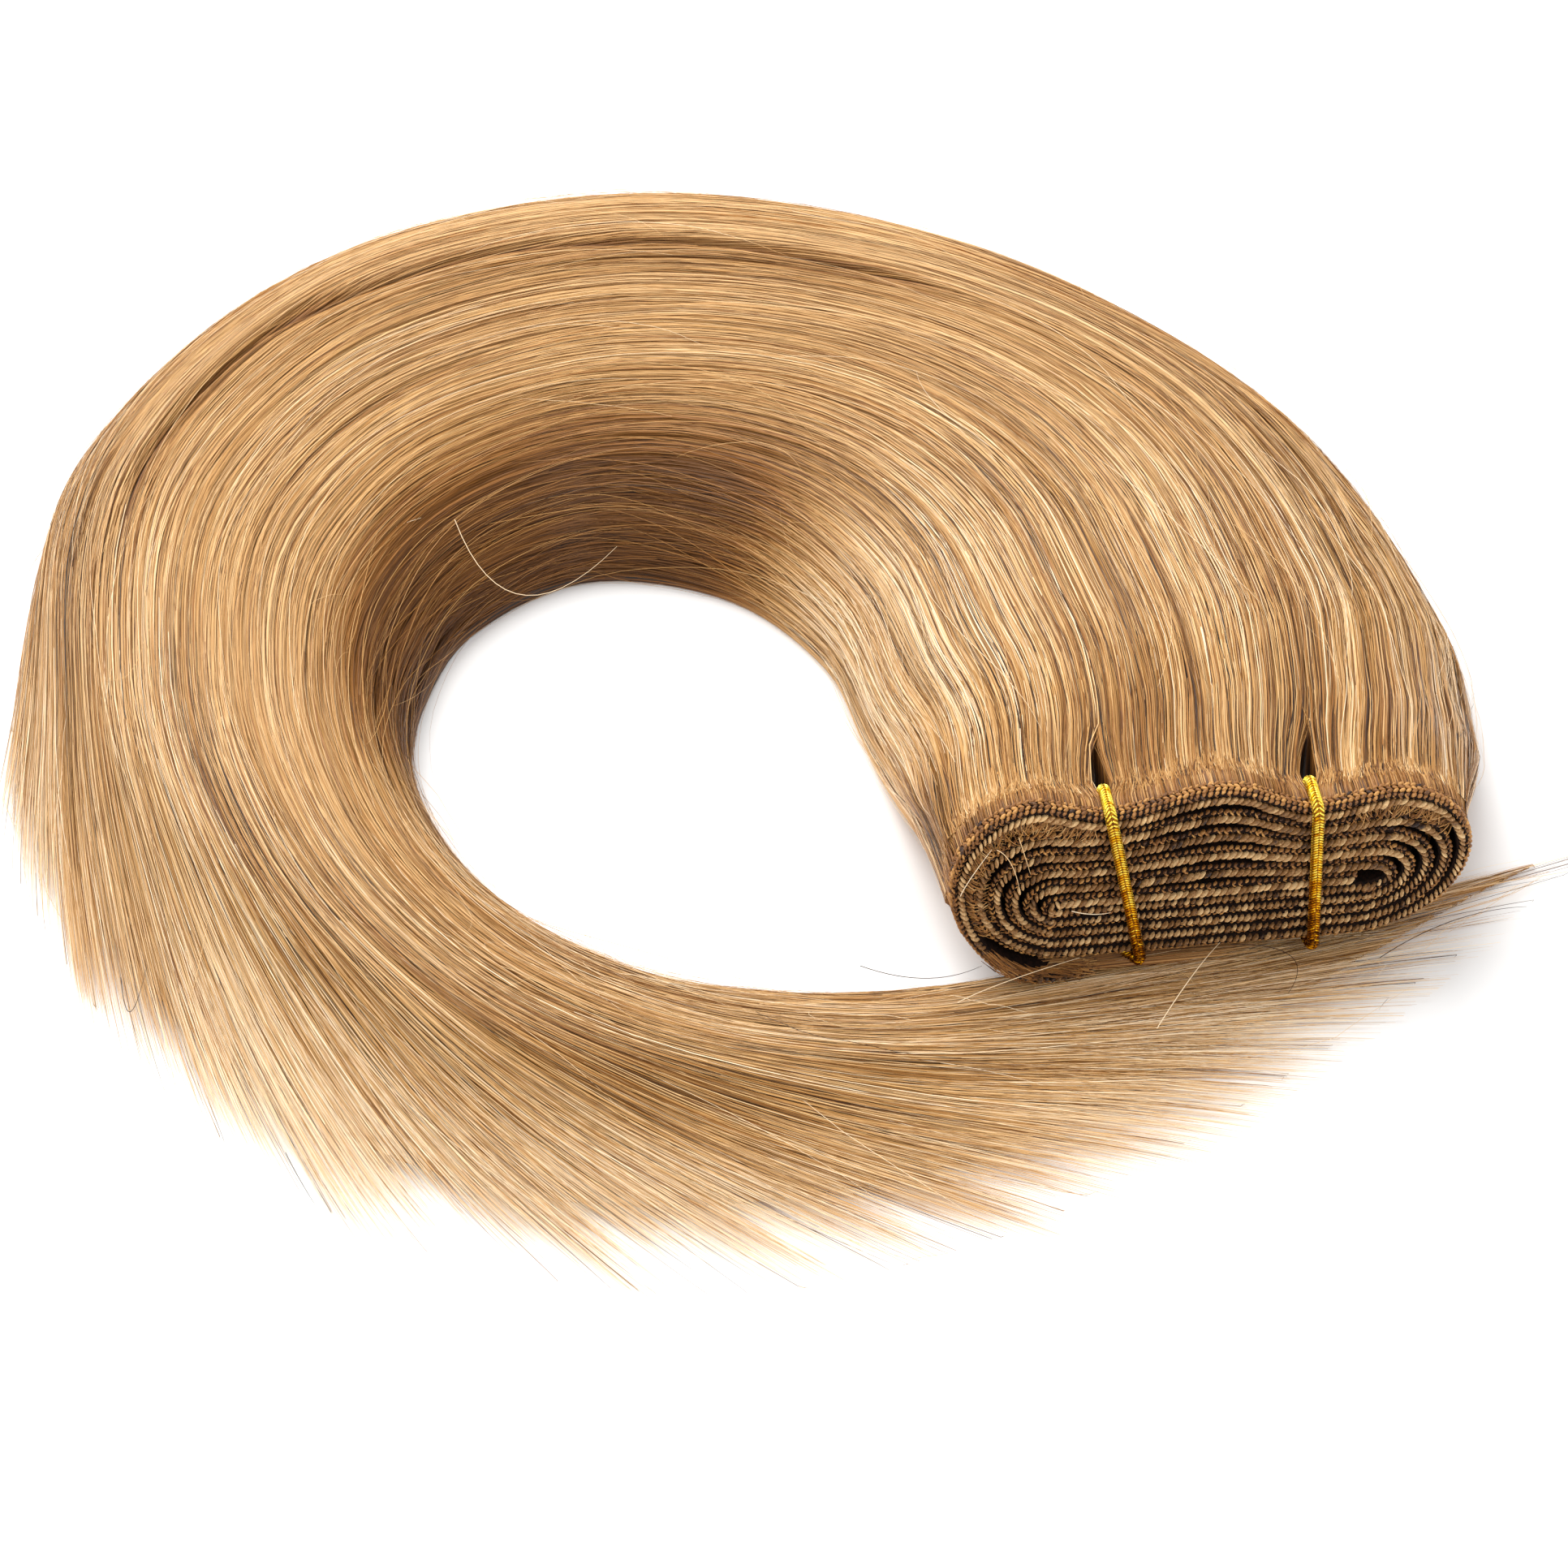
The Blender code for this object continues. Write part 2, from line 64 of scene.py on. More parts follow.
# The loop of hair, seen from above: radii are from the middle of the hole.
HOLE_RADIUS = 0.050
LOOP_RADIUS = 0.150
HAIR_HEIGHT = 0.031
HAIR_EDGE = 0.0015
INNER_LENGTH = 0.440
OUTER_LENGTH = 0.500
MIDDLE_EXTRA = 0.022
SPLAY_LENGTH = 0.060
SPLAY_REACH = 0.016
OUTER_SPLAY = 0.3
TAPER_LENGTH = 0.095
TIP_THICKNESS = 0.0012
TAPER_END = 1.03

# The rolled weft.
ROLL_RIGHT = 0.0926
ROLL_AHEAD = 0.047
ROLL_TURN = math.radians(7)
ROLL_WIDTH = 0.087
ROLL_HEIGHT = 0.034
ROLL_FLOOR = 0.006
ROLL_DEPTH = 0.0055
TOP_LAYER = 0.0025
BOTTOM_LAYER = 0.00175
LAYER_GAP = 0.0005
TIE_THICKNESS = 0.002
NOTCH_LENGTH = 0.017
SLIT_WIDTH = 0.0034
CLEARANCE = 0.0003
WRAPS = 5
INNERMOST_LEVEL = 0.37
WIDEST_LEVEL = 0.50
TOP_CURL = 0.150
UNDER_CURL = 0.215
EYE_CURL = 0.025
EYE_END = 0.56
TAIL_END = -0.45
TAIL_CORNER = -0.63
TAIL_FORWARD = 0.003
TAIL_REACH = 0.2
CURL_STEPS = 6
TOP_STEPS = 12
LAST_TOP_STEPS = 8

# Directions in the roll: to the right along it, behind its front face, and up.
RIGHT = np.array((math.cos(ROLL_TURN), math.sin(ROLL_TURN), 0.0))
BEHIND = np.array((-math.sin(ROLL_TURN), math.cos(ROLL_TURN), 0.0))
UP = np.array((0.0, 0.0, 1.0))

# The valley inside the hair's outer rim, drawn flatter than the solid's because the shadow line
# further down takes its place, and the outlines of the hair at the roll and further on.
RIM_GROOVE = 0.0014
RIM_PLACE = 0.86
RIM_HALF_WIDTH = 0.035
RIM_START = (2.5, 4.0)
RIM_END = (7.0, 9.0)
ROOT_TOP_DROP = 0.85
ROOT_TOP_POWER = 5
ROOT_UNDER_DROP = 0.80
ROOT_UNDER_POWER = 4
INNER_ARCH_POWER = 2.4
OUTER_ARCH_POWER = 2.8
TOP_SETTLES = 1.6
UNDER_SETTLES = 1.9

# Sections across the hair, as the solid part has them: turns in degrees round the hole, radii
# and crest as shares of HOLE_RADIUS, LOOP_RADIUS and HAIR_HEIGHT.
Section = namedtuple("Section", "inner_turn inner outer_turn outer crest crest_place")
SECTIONS = (
    Section(-20, 0.90, -2, 0.945, 1.00, 0.50),
    Section(18, 0.75, 13, 0.960, 1.00, 0.48),
    Section(48, 0.86, 38, 0.985, 1.00, 0.50),
    Section(77, 1.03, 66, 1.025, 0.97, 0.52),
    Section(104, 1.14, 92, 1.065, 0.94, 0.52),
    Section(130, 1.06, 117, 1.035, 0.90, 0.48),
    Section(155, 0.93, 145, 0.900, 0.85, 0.42),
    Section(180, 0.86, 177, 0.742, 0.78, 0.40),
    Section(205, 0.83, 206, 0.715, 0.68, 0.40),
    Section(229, 0.86, 232, 0.760, 0.56, 0.40),
    Section(253, 0.93, 256, 0.845, 0.42, 0.40),
    Section(276, 1.05, 280, 0.950, 0.29, 0.40),
    Section(300, 1.26, 300, 1.070, 0.18, 0.40),
    Section(320, 1.56, 318, 1.200, 0.11, 0.40),
    Section(338, 2.12, 335, 1.360, 0.10, 0.40),
    Section(351, 2.95, 350, 1.560, 0.10, 0.40),
    Section(359, 3.80, 360, 1.800, 0.10, 0.40),
)

# Levels of the weft's two outermost layers along the roll, and the ties' places on it.
Level = namedtuple("Level", "place outermost next_under")
LEVELS = (
    Level(-0.73, 0.590, 0.425),
    Level(-0.41, 0.492, 0.395),
    Level(0.03, 0.600, 0.480),
    Level(0.38, 0.436, 0.348),
    Level(0.73, 0.500, 0.376),
)
Tie = namedtuple("Tie", "name top bottom")
TIES = (Tie("tie_left", -0.41, -0.26), Tie("tie_right", 0.38, 0.41))

# The hair's form is worked out once on a grid: its outline from the inner edge over the top to
# the outer edge, and its length from the roll to a little past the tips.
FLOW_STEPS = 201
OUTLINE_STEPS = 401
ACROSS_STEPS = 301
ALONG_STEPS = 301
FULL_REACH = 1.08
ROOT_BACK = ROLL_DEPTH + CLEARANCE
MEAN_LENGTH = 0.47

# The ways that loose strands at the roll face.
FORWARD_AND_UP = np.array((0.0, -0.74, 0.67))
FORWARD = np.array((0.0, -0.9, 0.45))

# The tint of ordinary strands, the outermost places for one, and how low one may lie.
MIDDLE_TINT = 0.56
INSIDE = (0.001, 0.999)
GROUND = 0.0002


# Lines and shapes

def smooth(share):
    """A soft step from 0 to 1."""
    share = np.clip(share, 0.0, 1.0)
    return share * share * (3.0 - 2.0 * share)


def stretch(s, start, rising, end, falling):
    """1 on a stretch of the hair's length and 0 elsewhere, with a soft start and end."""
    return smooth((s - start) / rising) * smooth((end - s) / falling)


def hump(off, width):
    """A bell curve, 1 in the middle."""
    return np.exp(-((off / width) ** 2))


def unit(vectors):
    """The same directions with length 1; what has no direction stays as it is."""
    return vectors / np.maximum(np.linalg.norm(vectors, axis=-1), 1e-9)[..., None]


def run_along(points):
    """Distances along lines, up to each of their points."""
    steps = np.linalg.norm(np.diff(points, axis=-2), axis=-1)
    return np.concatenate((np.zeros(steps.shape[:-1] + (1,)), np.cumsum(steps, axis=-1)), axis=-1)


def at_distance(wanted, run, line):
    """Points at distances along a line."""
    return np.stack([np.interp(wanted, run, column) for column in line.T], axis=-1)


def through(points, at):
    """A smooth curve through all points but the first and last."""
    at = np.clip(at, 0.0, len(points) - 3 - 1e-9)
    row = np.floor(at).astype(int)
    t = (at - row)[:, None]
    p0, p1, p2, p3 = (points[row + k] for k in range(4))
    square = 2 * p0 - 5 * p1 + 4 * p2 - p3
    cube = 3 * p1 - p0 - 3 * p2 + p3
    return 0.5 * (2 * p1 + (p2 - p0) * t + square * t**2 + cube * t**3)


def between(grid, i, j, f, g):
    """Values between four neighbours on a grid, at shares f and g of the way to the next."""
    near = grid[i, j] * (1 - f) + grid[i + 1, j] * f
    far = grid[i, j + 1] * (1 - f) + grid[i + 1, j + 1] * f
    return near * (1 - g) + far * g


def bilinear(grid, across, along):
    """Values of a grid at shares 0 to 1 of its two sides."""
    a = np.clip(across, 0, 1) * (grid.shape[0] - 1)
    b = np.clip(along, 0, 1) * (grid.shape[1] - 1)
    i = np.minimum(a.astype(int), grid.shape[0] - 2)
    j = np.minimum(b.astype(int), grid.shape[1] - 2)
    return between(grid, i, j, (a - i)[..., None], (b - j)[..., None])


def roll_point(across, back, up):
    """Points given by their place in the roll: to the right, behind its front face, and up."""
    x = HOLE_X + ROLL_RIGHT + across * RIGHT[0] + back * BEHIND[0]
    y = HOLE_Y - ROLL_AHEAD + across * RIGHT[1] + back * BEHIND[1]
    return np.stack(np.broadcast_arrays(x, y, up), axis=-1)


# The flow of the hair

def edge_line(side):
    """One edge of the hair from the roll round the loop, with a point before and one after."""
    half = side * ROLL_WIDTH / 2
    points = [roll_point(half, back, 0.0)[:2] for back in (ROOT_BACK - ROLL_HEIGHT, ROOT_BACK)]
    for row in SECTIONS:
        turn = math.radians(row.inner_turn if side < 0 else row.outer_turn)
        radius = HOLE_RADIUS * row.inner if side < 0 else LOOP_RADIUS * row.outer
        x, y = HOLE_X + radius * math.cos(turn), HOLE_Y + radius * math.sin(turn)
        points.append(np.array((x, y)))
    points.append(2 * points[-1] - points[-2])
    return np.array(points)


def hair_length(u):
    """How long strand u is, from the roll to its tip."""
    return INNER_LENGTH + (OUTER_LENGTH - INNER_LENGTH) * u + MIDDLE_EXTRA * 4 * u * (1 - u)


def strand_line(u, along):
    """Plan points of strand u at distances along it, and their places in the sections."""
    at = np.linspace(0.0, len(SECTIONS), 600)
    line = through(edge_line(-1), at) * (1 - u) + through(edge_line(1), at) * u
    run = run_along(line)
    here = at_distance(along, run, line)
    ahead = at_distance(along + SPLAY_LENGTH / 20, run, line) - here
    past = np.maximum(0.0, along - hair_length(u) + SPLAY_LENGTH) / SPLAY_LENGTH
    held = min(1.0, 2 * u) * (1 - (1 - OUTER_SPLAY) * float(smooth(2 * u - 1)))
    spread = SPLAY_REACH * held * past**2 / np.maximum(np.hypot(ahead[:, 0], ahead[:, 1]), 1e-9)
    aside = np.stack((ahead[:, 1], -ahead[:, 0]), axis=-1)
    return here + aside * spread[:, None], np.interp(along, run, at)


def roll_level(place, layer):
    """Height of a top layer's middle at places along the roll."""
    places = np.array([row.place for row in LEVELS])
    levels = np.array([getattr(row, layer) for row in LEVELS])
    row = np.clip(np.searchsorted(places, place) - 1, 0, len(places) - 2)
    share = smooth((place - places[row]) / (places[row + 1] - places[row]))
    level = INNERMOST_LEVEL + levels[row] + (levels[row + 1] - levels[row]) * share
    return ROLL_FLOOR + ROLL_HEIGHT * level


def hair_heights(u, at):
    """Top and underside of the hair at strands u and places in the sections."""
    place = 2 * u - 1
    widest = ROLL_FLOOR + ROLL_HEIGHT * WIDEST_LEVEL
    round_top = np.sqrt(1 - ROOT_TOP_DROP * abs(place) ** ROOT_TOP_POWER)
    round_under = np.sqrt(1 - ROOT_UNDER_DROP * abs(place) ** ROOT_UNDER_POWER)
    root_top = widest + (roll_level(place, "outermost") + TOP_LAYER / 2 - widest) * round_top
    root_under = widest - (widest - ROLL_FLOOR) * round_under
    rows = np.arange(len(SECTIONS) + 1)
    sections = (SECTIONS[0], *SECTIONS)
    crest = HAIR_HEIGHT * np.interp(at, rows, [row.crest for row in sections])
    peak = np.interp(at, rows, [row.crest_place for row in sections])
    inner_lost = np.clip((peak - u) / peak, 0, 1) ** INNER_ARCH_POWER
    outer_lost = np.clip((u - peak) / (1 - peak), 0, 1) ** OUTER_ARCH_POWER
    arch = np.sqrt(np.clip(1 - inner_lost - outer_lost, 0, 1))
    top = HAIR_EDGE + (crest - HAIR_EDGE) * arch
    deepening = smooth((at - RIM_START[0]) / (RIM_START[1] - RIM_START[0]))
    fading = smooth((RIM_END[1] - at) / (RIM_END[1] - RIM_END[0]))
    top = top - RIM_GROOVE * deepening * fading * hump(u - RIM_PLACE, RIM_HALF_WIDTH)
    top = root_top + (top - root_top) * smooth(at / TOP_SETTLES)
    return top, root_under * (1 - smooth(at / UNDER_SETTLES))


def flow_grid():
    """Plan points, section places and undersides on an even grid of strands and lengths."""
    reach = np.linspace(0, FULL_REACH, ALONG_STEPS)
    grid = []
    for u in np.linspace(0, 1, FLOW_STEPS):
        points, at = strand_line(u, reach * hair_length(u))
        grid.append(np.column_stack((points, at, hair_heights(u, at)[1])))
    return np.array(grid)


FLOW = flow_grid()


def form_grid():
    """The hair's surface from edge to edge: points, shares across and outward normals."""
    fine = (1 - np.cos(np.linspace(0, np.pi, OUTLINE_STEPS))) / 2
    # Both edges come twice: at the underside and at the top.
    doubled = np.concatenate(([0], np.arange(OUTLINE_STEPS), [OUTLINE_STEPS - 1]))
    wanted = np.linspace(0, 1, ACROSS_STEPS)
    form = np.zeros((ACROSS_STEPS, ALONG_STEPS, 4))
    for j in range(ALONG_STEPS):
        row = bilinear(FLOW, fine, np.full(OUTLINE_STEPS, j / (ALONG_STEPS - 1)))
        # Heights near the edges change fast, so they're worked out between the grid's strands.
        top, under = hair_heights(fine, row[:, 2])
        along = FULL_REACH * j / (ALONG_STEPS - 1) * hair_length(fine)
        left_over = smooth((hair_length(fine) * TAPER_END - along) / TAPER_LENGTH)
        top = under + TIP_THICKNESS + (top - under - TIP_THICKNESS) * left_over
        outline = np.column_stack((row[:, :2], top))[doubled]
        outline[[0, -1], 2] = under[[0, -1]]
        run = run_along(outline)
        line = np.column_stack((outline, fine[doubled]))
        form[:, j] = at_distance(wanted, run / run[-1], line)
    across, along = (unit(np.gradient(form[..., :3], axis=axis)) for axis in (0, 1))
    return np.concatenate((form, unit(np.cross(across, along))), axis=2)


FORM = form_grid()


def on_hair(w, s):
    """Points, shares across and outward normals at places on the hair's surface."""
    found = bilinear(FORM, w, s / FULL_REACH)
    points = found[..., :3].copy()
    # Loose tips sink closer to the surface than the solid's edge.
    points[..., 2] *= 1 - 0.60 * smooth((s - 0.84) / 0.15)
    return points, found[..., 3], found[..., 4:]


def grain(w, s, across, along, seed):
    """Smooth noise from -1 to 1 with so many cells across the hair and along it."""
    values = np.random.default_rng(seed).uniform(-1, 1, (across + 2, along + 2))
    a = np.clip(w, 0, 1) * across
    b = np.clip(s / FULL_REACH, 0, 1) * along
    i, j = a.astype(int), b.astype(int)
    return between(values, i, j, smooth(a - i), smooth(b - j))


# The thin shadow line along which the outer rim of hair rolls up over the rest: shares of the
# hair's length, and the line's share across the hair there.
SEAM_ALONG = (0.35, 0.46, 0.50, 0.57, 0.62, 0.71)
SEAM_ACROSS = (0.643, 0.648, 0.667, 0.688, 0.735, 0.757)
SEAM_DEPTH = 0.0018
# Contrast between single hairs in front, where it's highest.
FRONT_CRISPNESS = 1.22
# Valleys between wisps: cells across and along, share of a cell's swing, depth and seed.
RELIEF = (
    (13, 4, 0.10, 0.0009, 11),
    (40, 7, 0.16, 0.0007, 12),
    (110, 12, 0.25, 0.0004, 13),
)


def seam(w, s):
    """How far across the hair a place lies from the shadow line, and the line's strength."""
    share = on_hair(w, s)[1]
    return share - np.interp(s, SEAM_ALONG, SEAM_ACROSS), stretch(s, 0.30, 0.08, 0.82, 0.10)


def rim(w, s):
    """1 on the smooth rim outside the shadow line, which gets a painted highlight, 0 elsewhere."""
    off, strength = seam(w, s)
    return smooth((off - 0.01) / 0.04) * strength


def crispness(w, s):
    """Contrast between single hairs: high in front, low on the far side, least on the rim."""
    far = stretch(s, 0.16, 0.12, 0.80, 0.14)
    return (FRONT_CRISPNESS - 0.60 * far) * (1 - 0.60 * rim(w, s))


def relief(w, s):
    """How far the surface lies above the plain form: narrow valleys part broad wisps."""
    wander = w + 0.012 * grain(w, s, 9, 6, 5) + 0.004 * grain(w, s, 30, 12, 6)
    depth = 0.0
    for across, along, width, deep, seed in RELIEF:
        depth = depth + deep * hump(grain(wander, s, across, along, seed), width)
    fade = smooth(s / 0.03) * (1 - 0.7 * smooth((s - 0.75) / 0.2))
    off, strength = seam(w, s)
    valleys = depth * (0.25 + 0.75 * fade) * crispness(w, s) / FRONT_CRISPNESS
    return -valleys - SEAM_DEPTH * strength * hump(off, 0.014)


def painted_shade(w, s):
    """How much darker the hair is painted, 0 to 1: painted shade on the steep inner wall that faces
    away from the light, and painted shadow along the line inside the rim and below it.
    """
    points, _, out = on_hair(w, s)
    inward = unit(np.stack((HOLE_X - points[..., 0], HOLE_Y - points[..., 1]), axis=-1))
    facing = (out[..., :2] * inward).sum(axis=-1)
    toward_front = smooth(0.5 + 0.9 * (0.30 * inward[..., 0] - 0.95 * inward[..., 1]))
    wall = smooth((facing - 0.12) / 0.62) * toward_front * stretch(s, 0.18, 0.10, 0.80, 0.2)
    wall = wall * (1 - 0.35 * smooth((s - 0.42) / 0.12))
    off, strength = seam(w, s)
    shade = 0.85 * hump(off, 0.011) + 0.38 * smooth((off + 0.10) / 0.09) * (off < 0)
    return np.clip(1.25 * wall + strength * shade, 0, 1)


def painted_highlights_and_browns(w, s):
    """How much paler the hair is painted, as an addition to its tint: painted highlights on the rim,
    at the right and on the inner edge near the weft, where the light falls; browner near the weft
    and in the middle of the fan."""
    right_side = smooth((0.60 - w) / 0.35) * stretch(s, 0.03, 0.06, 0.30, 0.10)
    inner_edge = smooth((0.26 - w) / 0.20) * stretch(s, 0.02, 0.05, 0.28, 0.08)
    # Painted highlights where the light falls: on the rim, at the right and on the inner edge.
    pale = 0.09 * rim(w, s) + 0.07 * right_side + 0.17 * inner_edge
    brown_fan = 0.08 * hump(w - 0.28, 0.17) * hump(s - 0.91, 0.09)
    brown_root = 0.14 * smooth((0.16 - s) / 0.14)
    return pale - brown_fan - brown_root


def notch_half(s):
    """Half the width of the slit that a tie pulls into the hair's root."""
    return np.clip(1 - s * MEAN_LENGTH / NOTCH_LENGTH, 0, 1) ** 0.8 * SLIT_WIDTH / 2


def past_ties(w, s):
    """Places pushed aside from the slits at the ties."""
    share = moved = on_hair(w, s)[1]
    half = notch_half(s)
    for tie in TIES:
        off = moved - (tie.top + 1) / 2
        side = np.sign(off[..., :1])
        near = np.clip(1 - np.abs(off) / 0.12, 0, 1) ** 2
        beyond = np.clip(-side * off, 0, 0.03) * (half > 0)
        moved = moved + side * (half / ROLL_WIDTH * near + beyond)
    return w + (moved - share) * 0.80


# Meshes

def new_piece(name, finish, points, corners, starts, uv=None, tint=None):
    """A smooth mesh from arrays: points, the corners of its faces and where each face starts.
    It gets its material and rides on the part."""
    data = bpy.data.meshes.new(name)
    data.vertices.add(len(points))
    data.vertices.foreach_set("co", np.ascontiguousarray(points, np.float32).ravel())
    data.loops.add(len(corners))
    data.loops.foreach_set("vertex_index", np.ascontiguousarray(corners, np.int32))
    data.polygons.add(len(starts))
    data.polygons.foreach_set("loop_start", np.ascontiguousarray(starts, np.int32))
    data.update(calc_edges=True)
    data.validate()
    if uv is not None:
        layer = data.uv_layers.new(name="Strand")
        layer.data.foreach_set("uv", np.ascontiguousarray(uv[corners], np.float32).ravel())
    if tint is not None:
        layer = data.attributes.new("tint", "FLOAT", "POINT")
        layer.data.foreach_set("value", np.ascontiguousarray(tint, np.float32))
    data.shade_smooth()
    data.materials.append(finish)
    piece = bpy.data.objects.new(name, data)
    bpy.context.scene.collection.objects.link(piece)
    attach(piece, "root")
    return piece


def tilted(centres, out, roll=0.0):
    """Directions across strands: level with what is below them, and then tilted."""
    across = unit(np.cross(unit(np.gradient(centres, axis=1)), out))
    roll = np.reshape(roll, (-1, 1, 1))
    return across * np.cos(roll) + out * np.sin(roll)


def ribbons(name, finish, centres, sides, widths, tints):
    """Flat strands: centre points, width directions, widths and tints, a row for each strand."""
    count, steps = centres.shape[:2]
    offset = sides * (np.broadcast_to(widths, (count, steps)) / 2)[..., None]
    points = np.stack((centres - offset, centres + offset), axis=2).reshape(-1, 3)
    first = (np.arange(count)[:, None] * steps + np.arange(steps - 1)) * 2
    faces = np.stack((first, first + 1, first + 3, first + 2), axis=-1).reshape(-1)
    uv = np.zeros((count, steps, 2, 2))
    uv[:, :, 1, 0] = 1.0
    uv[..., 1] = run_along(centres)[:, :, None] * 100
    tints = np.clip(np.broadcast_to(tints, (count, steps)), 0, 1)
    new_piece(name, finish, points, faces, np.arange(0, len(faces), 4),
              uv.reshape(-1, 2), np.repeat(tints.reshape(-1), 2))


def lay_strands(name, finish, w, s, lift, width, tint, roll):
    """Strands laid on the hair: places, lifts above the form, widths, tints and tilts."""
    points, _, out = on_hair(w, s)
    centres = points + out * lift[..., None]
    centres[..., 2] = np.maximum(centres[..., 2], GROUND)
    ribbons(name, finish, centres, tilted(centres, out, roll), width, tint)


def repeated(name, finish, placed, faces, tints):
    """Copies of one stitch or yarn, joined in a mesh: each one's points, and the shape's faces."""
    count, size = placed.shape[:2]
    lengths = np.tile([len(face) for face in faces], count)
    corners = (np.concatenate(faces) + np.arange(count)[:, None] * size).reshape(-1)
    starts = np.concatenate(([0], np.cumsum(lengths)[:-1]))
    return new_piece(name, finish, placed.reshape(-1, 3), corners, starts,
                     tint=np.repeat(tints, size))


def bead(segments, rings):
    """One round stitch of unit size: its points and faces."""
    bpy.ops.object.select_all(action="DESELECT")
    bpy.ops.mesh.primitive_uv_sphere_add(segments=segments, ring_count=rings, radius=1.0)
    made = bpy.context.object
    points = np.array([vertex.co for vertex in made.data.vertices])
    # Blender lists a sphere's faces in another order on each run, so they're put in order.
    faces = sorted(list(face.vertices) for face in made.data.polygons)
    bpy.data.objects.remove(made)
    return points, faces


# Materials

def linear(hex_colour):
    """An sRGB hex colour as linear red, green, blue and alpha."""
    parts = [int(hex_colour[i : i + 2], 16) / 255 for i in (1, 3, 5)]
    light = (c / 12.92 if c <= 0.04045 else ((c + 0.055) / 1.055) ** 2.4 for c in parts)
    return (*light, 1.0)


def add_node(tree, kind, inputs=None, stops=None, to=None, **settings):
    """A node with its settings, input values or links, colour stops and the socket that it
    feeds. It gives the node's outputs."""
    node = tree.nodes.new(kind)
    for key, value in settings.items():
        setattr(node, key, value)
    for key, value in (inputs or {}).items():
        if isinstance(value, bpy.types.NodeSocket):
            tree.links.new(value, node.inputs[key])
        else:
            node.inputs[key].default_value = value
    if stops:
        ramp = node.color_ramp
        while len(ramp.elements) < len(stops):
            ramp.elements.new(0.5)
        for element, (place, colour) in zip(ramp.elements, stops):
            element.position = place
            element.color = linear(colour)
    if to:
        tree.links.new(node.outputs[0], to)
    return node.outputs


def new_material(name, values):
    """A material with these values on its shader, its nodes and the shader's sockets."""
    made = bpy.data.materials.new(name)
    made.use_nodes = True
    sockets = made.node_tree.nodes["Principled BSDF"].inputs
    for key, value in values.items():
        sockets[key].default_value = value
    return made, made.node_tree, sockets


# Bleached hair: single hairs go from dark brown through reddish tan and honey to cream.
HAIR_STOPS = (
    (0.00, "#201003"),
    (0.12, "#56320f"),
    (0.30, "#955f24"),
    (0.50, "#c49355"),
    (0.72, "#e3ba82"),
    (1.00, "#ffeac8"),
)
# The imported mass: hairs 0.25 mm apart and wisps 2.5 mm apart, both long, on a map in millimetres;
# detail, swing of the tint and its offset.
PACKED_HAIR = (
    ((4.0, 0.025, 1.0), 3.0, 0.9, -0.45),
    ((0.4, 0.012, 1.0), 2.0, 0.5, -0.28),
)


def hair_material():
    """Human hair, bleached and combed: silky strands with a glint across them."""
    made, tree, shader = new_material("bleached_human_hair", {
        "Roughness": 0.45, "Anisotropic": 0.7, "Specular IOR Level": 0.27, "IOR": 1.55})
    tint = add_node(tree, "ShaderNodeAttribute", attribute_name="tint")["Fac"]
    add_node(tree, "ShaderNodeValToRGB", {0: tint}, HAIR_STOPS, shader["Base Color"])
    add_node(tree, "ShaderNodeTangent", to=shader["Tangent"],
             direction_type="UV_MAP", uv_map="Strand")
    return made


def backing_material():
    """The mass of hair below the loose surface strands: the same hair, packed and shaded."""
    made, tree, shader = new_material("packed_human_hair", {"Roughness": 0.55, "IOR": 1.55})
    place = add_node(tree, "ShaderNodeUVMap", uv_map="Strand")[0]
    tone = add_node(tree, "ShaderNodeAttribute", attribute_name="tint")["Fac"]
    noises = []
    for scale, detail, swing, offset in PACKED_HAIR:
        long = add_node(tree, "ShaderNodeMapping", {"Vector": place, "Scale": scale})[0]
        noise = {"Vector": long, "Scale": 1.0, "Detail": detail}
        noises.append(add_node(tree, "ShaderNodeTexNoise", noise)["Fac"])
        part = add_node(tree, "ShaderNodeMath", {0: noises[-1], 1: swing, 2: offset},
                        operation="MULTIPLY_ADD")[0]
        tone = add_node(tree, "ShaderNodeMath", {0: tone, 1: part}, operation="ADD")[0]
    add_node(tree, "ShaderNodeValToRGB", {0: tone}, HAIR_STOPS, shader["Base Color"])
    add_node(tree, "ShaderNodeBump", {"Height": noises[0], "Strength": 0.5, "Distance": 0.0003},
             to=shader["Normal"])
    return made


def thread_material(name, values, stops, scale, detail=3.0, swing=0.0, bump=0.0):
    """Thread, yarn or folded hair that its fibres speckle: specks a metre and their detail, how
    far they shift the tint of each stitch, if it has one, and how high they stand."""
    made, tree, shader = new_material(name, values)
    place = add_node(tree, "ShaderNodeTexCoord")["Object"]
    noise = {"Vector": place, "Scale": scale, "Detail": detail}
    tone = specks = add_node(tree, "ShaderNodeTexNoise", noise)["Fac"]
    if swing:
        tint = add_node(tree, "ShaderNodeAttribute", attribute_name="tint")["Fac"]
        part = add_node(tree, "ShaderNodeMath", {0: specks, 1: swing, 2: -swing / 2},
                        operation="MULTIPLY_ADD")[0]
        tone = add_node(tree, "ShaderNodeMath", {0: tint, 1: part}, operation="ADD")[0]
    add_node(tree, "ShaderNodeValToRGB", {0: tone}, stops, shader["Base Color"])
    if bump:
        add_node(tree, "ShaderNodeBump", {"Height": specks, "Strength": 0.6, "Distance": bump},
                 to=shader["Normal"])
    return made


# The hair

BODY_COLUMNS = 340
BODY_ROWS = 110
UNDER_COLUMNS = 24


